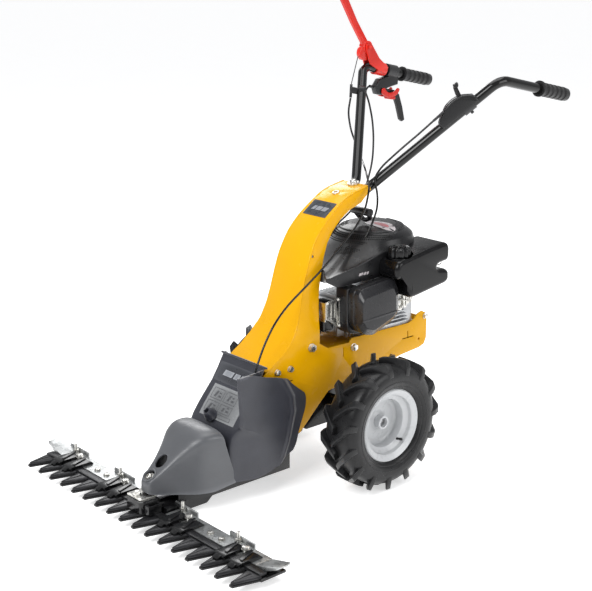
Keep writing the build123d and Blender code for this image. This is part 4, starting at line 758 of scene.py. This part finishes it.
def edge_reach(angle):
    """Distance from the fan's axis to the cowl's outline in a direction measured from straight ahead."""
    dx, dy = sin(angle), -cos(angle)
    best = 60.0
    for (x0, y0), (x1, y1) in zip(COWL_PLAN, COWL_PLAN[1:] + COWL_PLAN[:1]):
        ax, ay, bx, by = x0, y0 - FAN_Y, x1 - x0, y1 - y0
        det = dx * -by + bx * dy
        if abs(det) > 1e-9:
            reach, share = (ax * -by + bx * ay) / det, (dx * ay - dy * ax) / det
            if -0.001 <= share <= 1.001 and reach > best:
                best = reach
    return best


REACH = [sum(edge_reach(2 * pi * (i + k * 0.4) / AROUND) for k in (-2, -1, 0, 1, 2)) / 5
         for i in range(AROUND)]


def cowl_height(angle, radius):
    """Height of the cowl's top in a direction and at a distance from the fan's axis."""
    place = (angle / (2 * pi) * AROUND) % AROUND
    i = int(place)
    reach = REACH[i] + (REACH[(i + 1) % AROUND] - REACH[i]) * (place - i)
    if radius < GUARD_RADIUS:
        return value_at(DOME, radius)
    edge = value_at(CREASE, FAN_Y - reach * cos(angle))
    t = min((radius - GUARD_RADIUS) / max(reach - GUARD_RADIUS, 4.0), 1.0)
    return edge + (GUARD_FOOT - edge) * (1 - t) ** 1.25


def by_fan(radius, angle):
    """Plan position at a distance and in a direction from the fan's axis."""
    return radius * sin(angle), FAN_Y - radius * cos(angle)


def on_cowl(x, y, lift):
    """Point on the cowl's top, raised off it by lift."""
    angle, radius = atan2(x, FAN_Y - y), hypot(x, y - FAN_Y)
    return at(x, y, cowl_height(angle, radius) + lift)


def cowl():
    """Fan cowl: a stepped dome that runs forward into a creased skirt over the cylinder."""
    radii = [4, 20, 36, 50, 62, 70, 78, 81, 83.5, 85.5, 89, 94, 99, 104]
    verts = []
    for i in range(AROUND):
        angle, reach = 2 * pi * i / AROUND, REACH[i]
        line = [(r, cowl_height(angle, r)) for r in radii]
        skirt = [GUARD_RADIUS + (reach - GUARD_RADIUS) * k / 12 for k in range(1, 12)]
        line += [(r, cowl_height(angle, r)) for r in skirt]
        y = FAN_Y - reach * cos(angle)
        edge, foot = value_at(CREASE, y), value_at(COWL_FOOT, y)
        line += [(reach - 0.5, edge + 0.3), (reach + 0.8, edge - 1.2), (reach + 1.2, edge - 3.5)]
        line += [(reach + 1.2, edge - 3.5 + (foot + 2 - edge + 3.5) * k / 4) for k in range(1, 5)]
        line += [(reach + 0.4, foot), (reach - 2.0, foot), (reach - 2.6, foot + 3), (reach - 3.2, edge - 8)]
        verts += [at(*by_fan(r, angle), z) for r, z in line]
    rings = len(verts) // AROUND
    faces = grid_faces(AROUND, rings, wrap_rows=True) + [tuple(range(0, AROUND * rings, rings))]
    shell = dress(raw("cowl_shell", verts, faces), "cowl_plastic")
    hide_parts("blower_housing")


def capsule_field(name, spots, material, sides=6, height=0.5):
    """Many small flat studs in one mesh: (x, y, long half, short half, turn) on the cowl."""
    verts, faces = [], []
    for x, y, long_half, short_half, turn in spots:
        base = len(verts)
        for lift, grow in ((-0.5, 1.0), (height - 0.08, 1.0), (height, 0.86)):
            for k in range(sides):
                a = 2 * pi * (k + 0.5) / sides
                u, v = cos(a) * long_half * grow, sin(a) * short_half * grow
                verts.append(on_cowl(x + u * cos(turn) - v * sin(turn), y + u * sin(turn) + v * cos(turn),
                    lift))
        for level in range(2):
            for k in range(sides):
                a, b = base + level * sides + k, base + level * sides + (k + 1) % sides
                faces.append((a, b, b + sides, a + sides))
        faces.append(tuple(base + 2 * sides + k for k in range(sides)))
        faces.append(tuple(base + k for k in range(sides))[::-1])
    return dress(raw(name, verts, faces), material)


def cowl_vents():
    """Rows of small air holes on the cowl's shoulders, and long slots on the fan guard: flat near-black studs
    on the uncut cowl, painted shade where the openings are.
    """
    holes = []
    for row, (radius, low, high) in enumerate(((92.5, -100, 78), (97.5, -100, 78), (101.5, -100, 70),
        (110, -42, 40), (115, -42, 36),
                                               (133, 6, 34), (138, 6, 33), (143, 6, 31), (148, 7, 29), (153,
                                               8, 27))):
        step = degrees(5.2 / radius)
        for k in range(int((high - low) / step)):
            angle = radians(low + step * (k + 0.5 * (row % 2)))
            holes.append((*by_fan(radius, angle), 1.95, 1.6, angle))
    # near-black studs: painted shade standing in for the dark inside of the air holes
    capsule_field("cowl_holes", holes, "painted_hole_shade")
    slots = []
    for radius in (66, 77):
        for first, step, count in ((98, 7.2, 13), (-150, 8, 16)):
            for k in range(count):
                angle = radians(first + step * k)
                slots.append((*by_fan(radius, angle), 4.6, 1.5, angle - pi / 2))
    # near-black studs: painted shade standing in for the dark inside of the fan guard's slots
    capsule_field("cowl_slots", slots, "painted_hole_shade", 8)
    ribs = []
    for k in range(13):
        angle = radians(101.6 + 7.2 * k)
        ribs.append((*by_fan(71.5, angle), 10.5, 1.5, angle - pi / 2))
    capsule_field("cowl_ribs", ribs, "rib_sheen", 8, 1.8)


def oval(name, centre, half, lift, material, thickness=0.4, border=0.0):
    """Oval film on the cowl, or a raised oval ring when it has a border width."""
    steps, verts, rings = 48, [], [(0.02, 0), (0.5, 0), (1.0, 0)]
    if border:
        rings = [(1.0, -0.6), (1.03, 0.6), (1.0 + border * 0.5, 1.0), (1.0 + border, 0.2),
                 (1.0 + border, -0.8)]
    for k in range(steps):
        a = 2 * pi * k / steps
        verts += [on_cowl(centre[0] + half[0] * grow * cos(a),
                          centre[1] + half[1] * grow * sin(a), lift + up) for grow, up in rings]
    faces = grid_faces(steps, len(rings), wrap_columns=border > 0, wrap_rows=True)
    if border:
        dress(raw(name, verts, faces), material)
    else:
        faces.append(tuple(k * len(rings) for k in range(steps)))
        dress(walled(raw(name, verts, faces), thickness * MM, 0.0), material)


FILLER_X, FILLER_Y = 134.5, 141   # the filler's axis
TANK_SIDE = [(96, 498), (96, 522), (106, 537), (150, 545), (210, 555), (268, 562), (281, 557), (286, 546),
    (286, 522), (279, 513),
             (250, 510), (241, 503), (248, 496), (276, 492), (286, 484), (287, 464), (276, 455), (160,
                 438), (144, 440), (139, 454),
             (138, 484), (128, 494), (106, 492)]


def tank():
    """Blow-moulded tank: fat round edges, a recess for the cap, a notch at the rear, a strap wire."""
    body = pillow("tank_body", rounded(TANK_SIDE, 15, 6), sideways, (70, 173), (6, 11))
    recess = spun("recess_tool", [(0, 0), (0, 33), (6, 34.5), (60, 36), (60, 0)], at(FILLER_X, FILLER_Y, 533),
        (0, 0, 1), 64, closed=False)
    carve(body, [recess])
    dress(body, "tank_plastic", "chassis", 0.0022, 3, 40)
    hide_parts("fuel_tank")
    neck = [(0, 0), (0, 24), (2, 25), (4, 24.4), (4, 0)]
    dress(spun("tank_neck", neck, at(FILLER_X, FILLER_Y, 534), (0, 0, 1), 48, closed=False), "tank_plastic")
    route("tank_strap_wire", [(112, 289, 515), (132, 291, 508), (142, 291, 500), (132, 290, 492),
        (112, 288, 486)], 1.3, "bright_zinc")


def filler_cap():
    """Fuel cap with deep finger lobes and a dished top with ribs."""
    lobes, steps = 12, 144
    profile = [(0, 0.86), (1.5, 0.97), (4, 1.0), (14, 1.0), (17.5, 0.96), (19.5, 0.88), (20.2, 0.80),
        (19.6, 0.70), (18.0, 0.62), (17.4, 0.3),
               (17.4, 0.04)]
    verts = []
    for i in range(steps):
        a = 2 * pi * i / steps
        wave = 0.5 + 0.5 * cos(lobes * a)
        for z, share in profile:
            depth = 3.0 * (1 - wave ** 0.6) if share > 0.84 else 0.0
            radius = 29.0 * share - depth
            verts.append(at(FILLER_X + radius * cos(a), FILLER_Y + radius * sin(a), 539 + z * 1.28))
    faces = grid_faces(steps, len(profile), wrap_rows=True) + [tuple(i * len(profile) for i in range(steps))]
    faces.append(tuple(i * len(profile) + len(profile) - 1 for i in range(steps)))
    cap = dress(raw("filler_cap_body", verts, faces), "tank_plastic", "tank_cap")
    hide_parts("fuel_cap")
    for k in range(3):
        turn = pi * k / 3
        outline = [(-17, -1.4), (17, -1.4), (17, 1.4), (-17, 1.4)]
        turned = [(FILLER_X + u * cos(turn) - v * sin(turn),
                   FILLER_Y + u * sin(turn) + v * cos(turn)) for u, v in outline]
        dress(slab(f"filler_cap_rib_{k}", turned, at, (560, 564.8)), "tank_plastic", "tank_cap", 0.0006)


FILTER_FACE = [(2, 463), (96, 474), (106, 452), (108, 410), (96, 398), (34, 377), (4, 386), (-8, 408),
    (-9, 452)]
FILTER_RIM = [(0, 481), (112, 492), (130, 462), (132, 404), (116, 386), (44, 358), (12, 366), (-8, 392),
    (-10, 462)]


def air_filter():
    """Air filter cover: wide chamfers to a flat face with a ridge, and the box behind it."""
    levels = [(128, 0.0, 0.97), (130, 0.0, 1.0), (144, 0.0, 1.0), (146, 0.05, 0.995), (160.5, 0.94, 1.0),
        (162.0, 1.0, 0.995),
              (162.6, 1.0, 0.97)]
    rim_line, face_line = rounded(FILTER_RIM, 9, 4), rounded(FILTER_FACE, 7, 4)
    count = len(rim_line)
    verts = []
    for x, share, scale in levels:
        line = [(a + (c - a) * share, b + (d - b) * share) for (a, b), (c, d) in zip(rim_line, face_line)]
        cy, cz = sum(p[0] for p in line) / count, sum(p[1] for p in line) / count
        verts += [at(x, cy + (y - cy) * scale, cz + (z - cz) * scale) for y, z in line]
    faces = grid_faces(len(levels), count, wrap_columns=True) + end_caps(len(levels), count)
    cover = dress(raw("filter_cover_body", verts, faces), "filter_plastic", "chassis", 0.0009, 2, 20)
    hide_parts("air_filter_cover")
    ridge = [(-9.4, 409), (107.4, 414), (108, 409), (-8.6, 403)]
    plate("filter_cover_ridge", ridge, (160, 164.2), "filter_plastic", 0.0012)
    box_line = [(y * 0.985 + 1, z * 0.99 + 4) for y, z in rim_line]
    back = plate("filter_box", box_line, (108, 128.4), "cowl_plastic", 0.004, segments=4)
    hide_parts("air_filter_base")
    for k, (y, z) in enumerate(((6, 482), (118, 496))):
        clip = [(y - 7, z - 9), (y + 7, z - 9), (y + 8, z - 2), (y + 4, z), (y - 6, z - 1)]
        plate(f"filter_clip_{k}", clip, (126, 139), "cowl_plastic", 0.0012)


def engine_details():
    """Air duct before the block, control linkage, springs and bolts round the carburettor."""
    duct = [(-8, 478), (44, 474), (52, 440), (52, 366), (30, 354), (0, 362), (-8, 384)]
    plate("air_duct", duct, (64, 107), "cowl_plastic", 0.004, (8, 4), 4)
    seat, axis = at(76, 12, 381), Vector((0.751731, -0.451039, 0.481108))
    cap = spun("oil_cap_body", [(0, 0), (0, 16.6), (1.2, 17.8), (4, 18), (10, 18), (11.6, 17), (12.2, 15),
        (11.2, 13), (10.8, 0)],
               seat, axis, 72, closed=False)
    for v in cap.data.vertices:
        local = v.co - seat
        out = local - axis * local.dot(axis)
        if out.length > 16.9 * MM:
            turn = atan2(out.cross(axis).dot(Vector((0, 0, 1))), out.z)
            v.co -= out.normalized() * (0.9 * MM * (0.5 + 0.5 * cos(24 * turn)))
    dress(cap, "cowl_gloss", "oil_cap")
    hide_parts("dipstick")
    blade = [(-13.5, -2.6), (13.5, -2.6), (12.0, 2.6), (-12.0, 2.6)]
    side = axis.orthogonal().normalized()
    up = axis.cross(side)
    handle = slab("oil_cap_blade", rounded(blade, 2, 3), lambda u, v,
        w: seat + (side * u + up * v + axis * w) * MM, (9, 19.5))
    dress(handle, "cowl_gloss", "oil_cap", 0.0009, 3)
    dress(spun("oil_cap_rod", [(-20, 0), (-20, 3.4), (-19, 4), (1, 4), (1, 0)], seat, axis, 24, closed=False),
        "bright_zinc", "oil_cap")
    links = [[(100, 150, 440), (104, 172, 428), (104, 196, 424), (100, 214, 430)],
        [(98, 158, 424), (102, 190, 408), (100, 226, 402)],
             [(96, 206, 436), (100, 210, 412), (98, 206, 392)], [(92, 232, 442), (97, 236, 420),
             (94, 228, 396)]]
    for k, line in enumerate(links):
        route(f"governor_link_{k}", line, 1.3, "bright_zinc")
    for k, (x, y, z, turns, length) in enumerate(((102, 168, 414, 9, 26), (98, 216, 418, 7, 20))):
        coil = []
        for step in range(turns * 8 + 1):
            a = step * pi / 4
            coil.append((x + 3.2 * cos(a), y + length * step / (turns * 8), z + 3.2 * sin(a)))
        route(f"governor_spring_{k}", coil, 0.55, "bright_zinc")
    bracket = [(150, 448), (186, 450), (232, 446), (236, 404), (222, 392), (206, 396), (198, 380), (182, 384),
        (176, 402), (150, 406)]
    plate("control_plate", bracket, (90, 92), "bright_zinc", 0.0005, (4, 3))
    for k, (y, z, across) in enumerate(((158, 440, 8), (224, 438, 8), (192, 390, 9), (216, 404, 7),
            (170, 412, 6))):
        screw(f"control_screw_{k}", (92, y, z), (1, 0, 0), across)
    lever = [(196, 440), (204, 440), (212, 398), (208, 386), (200, 388)]
    plate("governor_arm", lever, (95, 97.4), "bright_zinc", 0.0004, (3, 3))
    for k in range(7):
        fin = [(128, 344 + 9 * k), (236 - 3 * k, 344 + 9 * k), (236 - 3 * k, 347.5 + 9 * k),
            (128, 347.5 + 9 * k)]
        plate(f"block_rib_{k}", fin, (66, 82 - 1.5 * k), "cast_aluminium", 0.0012)
    hose = [(112, 66, 372), (104, 100, 392), (102, 136, 412), (98, 160, 434), (96, 172, 452)]
    route("breather_hose", hose, 4.2, "black_rubber")
    guard = [(-57, 446), (-18, 451), (-9, 449), (-7, 372), (-46, 398), (-57, 402)]
    inner = [(-52, 441), (-19, 445), (-13, 444), (-12, 379), (-45, 402), (-52, 405)]
    frame_piece = slab("guard_frame", rounded(guard, 3, 3), sideways, (79.4, 82.2))
    carve(frame_piece, [slab("guard_tool", rounded(inner, 3, 3), sideways, (70, 90))])
    dress(frame_piece, "bright_zinc", "chassis", 0.0005)
    for k, (y, z) in enumerate(((-50, 443), (-14, 447), (-11, 380))):
        screw(f"guard_screw_{k}", (82.2, y, z), (1, 0, 0), 7)


def side_mark():
    """Three pale raised bars on the cowl's flank where a name would sit."""
    for k, (y0, y1) in enumerate(((30, 42), (45, 52), (55, 60))):
        x0 = 101.6 + 0.04 * y0
        outline = [(y0, 503), (y1, 504.2), (y1 + 1.5, 510.2), (y0 + 1.5, 509)]
        plate(f"cowl_mark_{k}", outline, (x0 + 1.5, x0 + 5.4), "badge_silver", 0.0004)


def engine():
    """Cowl with its vents and badge, tank, air filter and the details round the carburettor."""
    cowl()
    cowl_vents()
    oval("cowl_badge", (38, 172), (46, 24), 0.5, "badge_silver")
    oval("cowl_badge_patch", (40, 171), (25, 10), 1.1, "badge_red", 0.3)
    oval("cowl_badge_rim", (38, 172), (46, 24), 0.4, "cowl_gloss", border=0.14)
    tank()
    filler_cap()
    air_filter()
    engine_details()
    side_mark()


# ---------------------------------------------------------------- column and controls
COLUMN_LINE = [(119, 708), (73, 699), (43, 689), (19, 675), (-21, 646), (-53, 615), (-70, 591), (-88, 555),
    (-101, 517), (-114, 472),
               (-125, 432), (-141, 392), (-167, 360), (-195, 337)]
COLUMN_WIDTHS = [(337, 75), (372, 73), (400, 67), (432, 62), (472, 58), (517, 57), (555, 56), (591, 54),
    (646, 51), (675, 47.5), (720, 47.5)]
NECK_FACING = (0, -0.22, 0.97)
SLOT_BACK = 72.8          # inner face of the cradle's side plates
TUBE_BEND, TUBE_FOOT = Vector((239.0, 372.0, 964.0)), Vector((28.0, 146.0, 702.5))
THROTTLE_DOWN = 122.0     # the throttle's distance down the tube from its bend
HAND_LEVER = (-240, 441, 893)   # the hand lever's pivot
THROTTLE_SIDE = [(-60, -5), (-62, 12), (-50, 21), (-36, 28), (-20, 37), (4, 40), (26, 34), (44, 21), (53, 8),
    (53, -5)]


def on_tube(along_tube, away, across):
    """Point beside the left tube, measured from the throttle: along the tube, away from it, across it."""
    run = (TUBE_BEND - TUBE_FOOT).normalized()
    up = (Vector((0, 0, 1)) - run * run.z).normalized()
    return at(*(TUBE_BEND - run * THROTTLE_DOWN + run * along_tube + up * away + up.cross(run) * across))


def on_column(x, y, lift):
    """Point on the column's front face, raised off it by lift."""
    z = value_at(COLUMN_LINE[::-1], y)
    slope = atan2(value_at(COLUMN_LINE[::-1], y + 6) - value_at(COLUMN_LINE[::-1], y - 6), 12)
    return at(x, y - lift * sin(slope), z + lift * cos(slope))


def column_film(name, x0, x1, y0, y1, material, lift, slant=0.0):
    """Thin film that follows the column's front face."""
    verts = []
    for i in range(11):
        y = y0 + (y1 - y0) * i / 10
        lean = slant * (y - y0)
        verts += [on_column(x0 + lean + (x1 - x0) * j / 6, y, lift) for j in range(7)]
    dress(walled(raw(name, verts, grid_faces(11, 7)), 0.25 * MM, 0.0), material)


def column_details():
    """Name plate without a name, folded edges, neck bolt and eyelet, and near-black sheets of painted shade
    behind the cradle's slots.
    """
    column_film("column_badge", -40, 40, -23, 17, "badge_slate", 0.7)
    for k, (x0, x1) in enumerate(((-26, -16), (-12, 4), (8, 24))):
        column_film(f"column_badge_mark_{k}", x0, x1, -8, 2, "label_pale", 1.1, 0.5)
    for side in (-1, 1):
        line = []
        for y, z in curve_through(COLUMN_LINE, 3, closed=False):
            line.append((side * (value_at(COLUMN_WIDTHS, z) - 1.2), y + 0.9, z - 0.9))
        route(f"column_edge_{side + 1}", line, 1.9, "yellow_paint")
    for name, y, z, outer, inner in (("neck_eyelet", 50, 692.2, 9, 5.6), ("neck_washer", 110, 707.4, 15, 7)):
        ring = [(-0.6, inner), (1.4, inner), (2.0, inner + 0.6), (2.0, outer - 0.9), (1.2, outer),
            (-0.6, outer)]
        dress(spun(name, ring, at(0, y, z), NECK_FACING, 48), "bright_zinc")
    screw("neck_bolt", (0, 110, 709.6), NECK_FACING, 19)
    # near-black sheets behind the cradle's slots: painted shade where the slots look into the shaded cradle
    for side in (-1, 1):
        depth = (side * (SLOT_BACK - 1.6), side * SLOT_BACK)
        for k, outline in enumerate(([(218, 288), (265, 288), (265, 316), (235, 316), (235, 300), (218, 300)],
            [(4, 288), (14, 288), (14, 320), (4, 320)],
                                     [(-194, 264), (-154, 264), (-154, 275), (-194, 275)])):
            plate(f"slot_painted_shade_{side + 1}_{k}", outline, depth, "painted_hole_shade", 0.0003, (2, 3))
    route("throttle_boot", [(140, 245, 866), (146, 251.5, 874), (153, 258, 883), (157, 262, 889)], 3.4,
        "control_plastic")


def latch_piece():
    """Red parking latch: two curved cheeks beside the hand lever and a thumb bridge below them."""
    band = [(-7, 5), (-9, -4), (-1, -13), (16, -20), (36, -21), (53, -13), (61, -2), (53, 3), (41, -5),
        (23, -8), (10, -3), (3, 6)]
    x0, y0, z0 = HAND_LEVER
    outline = curve_through([(y0 + y, z0 + z) for y, z in band], 4)
    for side in (-1, 1):
        depth = sorted((x0 + side * 12.2, x0 + side * 15.5))
        cheek = plate(f"latch_cheek_{side + 1}", outline, depth, "red_plastic", 0.0009, segments=3,
                      body="latch")
    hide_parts("lever_latch")
    bridge = pillow("latch_bridge", rounded([(471, 865.5), (486, 865.5), (487, 872), (470, 872)], 3, 4),
        sideways, (-255.5, -224.5), (2.2, 2.2))
    dress(bridge, "red_plastic", "latch")


def throttle_box():
    """Shell over the throttle control, split by its lever's slot, with a spine and a thumb pad."""
    for side, (near, far) in ((1, (4.2, 17.0)), (-1, (-17.0, -4.2))):
        radii = (1.2, 6.0) if side > 0 else (6.0, 1.2)
        half = pillow(f"throttle_half_{side + 1}", rounded(THROTTLE_SIDE, 12, 6), on_tube, (near, far), radii)
        dress(half, "control_plastic")
    spine = pillow("throttle_spine", rounded([(-57, 10), (-40, 22), (-8, 30), (-8, 14), (-57, 2)], 6, 4),
        on_tube, (-5, 5), (1.5, 1.5))
    dress(spine, "control_plastic")
    pad = curve_through([(27, 65), (38, 64), (37, 57), (31, 53), (24, 57)], 4)
    dress(pillow("throttle_pad", pad, on_tube, (-8, 8), (3, 3)), "control_plastic", "throttle")


# ---------------------------------------------------------------- detailed pieces
for side_name in WHEELS:
    tyre(side_name)
    rim(side_name)
nose()
shield()
shield_labels()
engine()
column_details()
latch_piece()
throttle_box()


# ---------------------------------------------------------------- studio
FLOOR_HALF, FLOOR_Z = 70, -0.0005
LAMPS = {
    "key": ((0.6, -2.9, 2.9), 0.5, (2.2, 1.6), 95),
    "fill": ((3.2, 1.0, 1.9), 0.5, (2.0, 2.0), 40),
    "top": ((-0.4, 0.4, 3.4), 0.4, (2.4, 2.4), 50),
    "rim": ((-2.8, 1.6, 2.2), 0.6, (1.6, 1.6), 35),
}


def studio():
    """Pale floor that gives off a little light, so that it renders white, and four soft lamps."""
    mesh = bpy.data.meshes.new("floor")
    corners = [(x * FLOOR_HALF, y * FLOOR_HALF, FLOOR_Z) for x, y in ((-1, -1), (1, -1), (1, 1), (-1, 1))]
    mesh.from_pydata(corners, [], [(0, 1, 2, 3)])
    floor = bpy.data.objects.new("floor", mesh)
    bpy.context.scene.collection.objects.link(floor)
    look = Look("pale_floor")
    look.feed(look.shader, {
        "Base Color": look.ramp(look.noise(3.0, 2.0), (0.3, 0.86), (0.7, 0.88)), "Roughness": 0.9,
        "Emission Color": (1.0, 1.0, 1.0, 1.0), "Emission Strength": 0.55})
    mesh.materials.append(look.material)

    world = bpy.data.worlds.new("studio")
    world.use_nodes = True
    background = world.node_tree.nodes["Background"]
    background.inputs["Color"].default_value = (0.97, 0.98, 1.0, 1.0)
    background.inputs["Strength"].default_value = 0.50
    bpy.context.scene.world = world

    for name, (place, aim, size, power) in LAMPS.items():
        light = bpy.data.lights.new(name, "AREA")
        light.shape = "RECTANGLE"
        light.size, light.size_y = size
        light.energy = power
        lamp = bpy.data.objects.new(name, light)
        lamp.location = place
        lamp.rotation_euler = (Vector((0, 0, aim)) - Vector(place)).to_track_quat("-Z", "Y").to_euler()
        bpy.context.scene.collection.objects.link(lamp)


def photo_camera():
    """Camera solved from the photograph: its place, its turn and dip in degrees, its lens."""
    data = bpy.data.cameras.new("photo_camera")
    data.sensor_fit, data.sensor_width, data.lens = "HORIZONTAL", 36.0, 76.24
    camera = bpy.data.objects.new("photo_camera", data)
    turn, dip = radians(48.64), radians(15.88)
    look = Vector((-sin(turn) * cos(dip), cos(turn) * cos(dip), -sin(dip)))
    camera.location = at(2224, -2039, 1295)
    camera.rotation_euler = look.to_track_quat("-Z", "Y").to_euler()
    bpy.context.scene.collection.objects.link(camera)
    bpy.context.scene.camera = camera


bpy.context.scene.view_settings.view_transform = "Standard"
studio()
photo_camera()
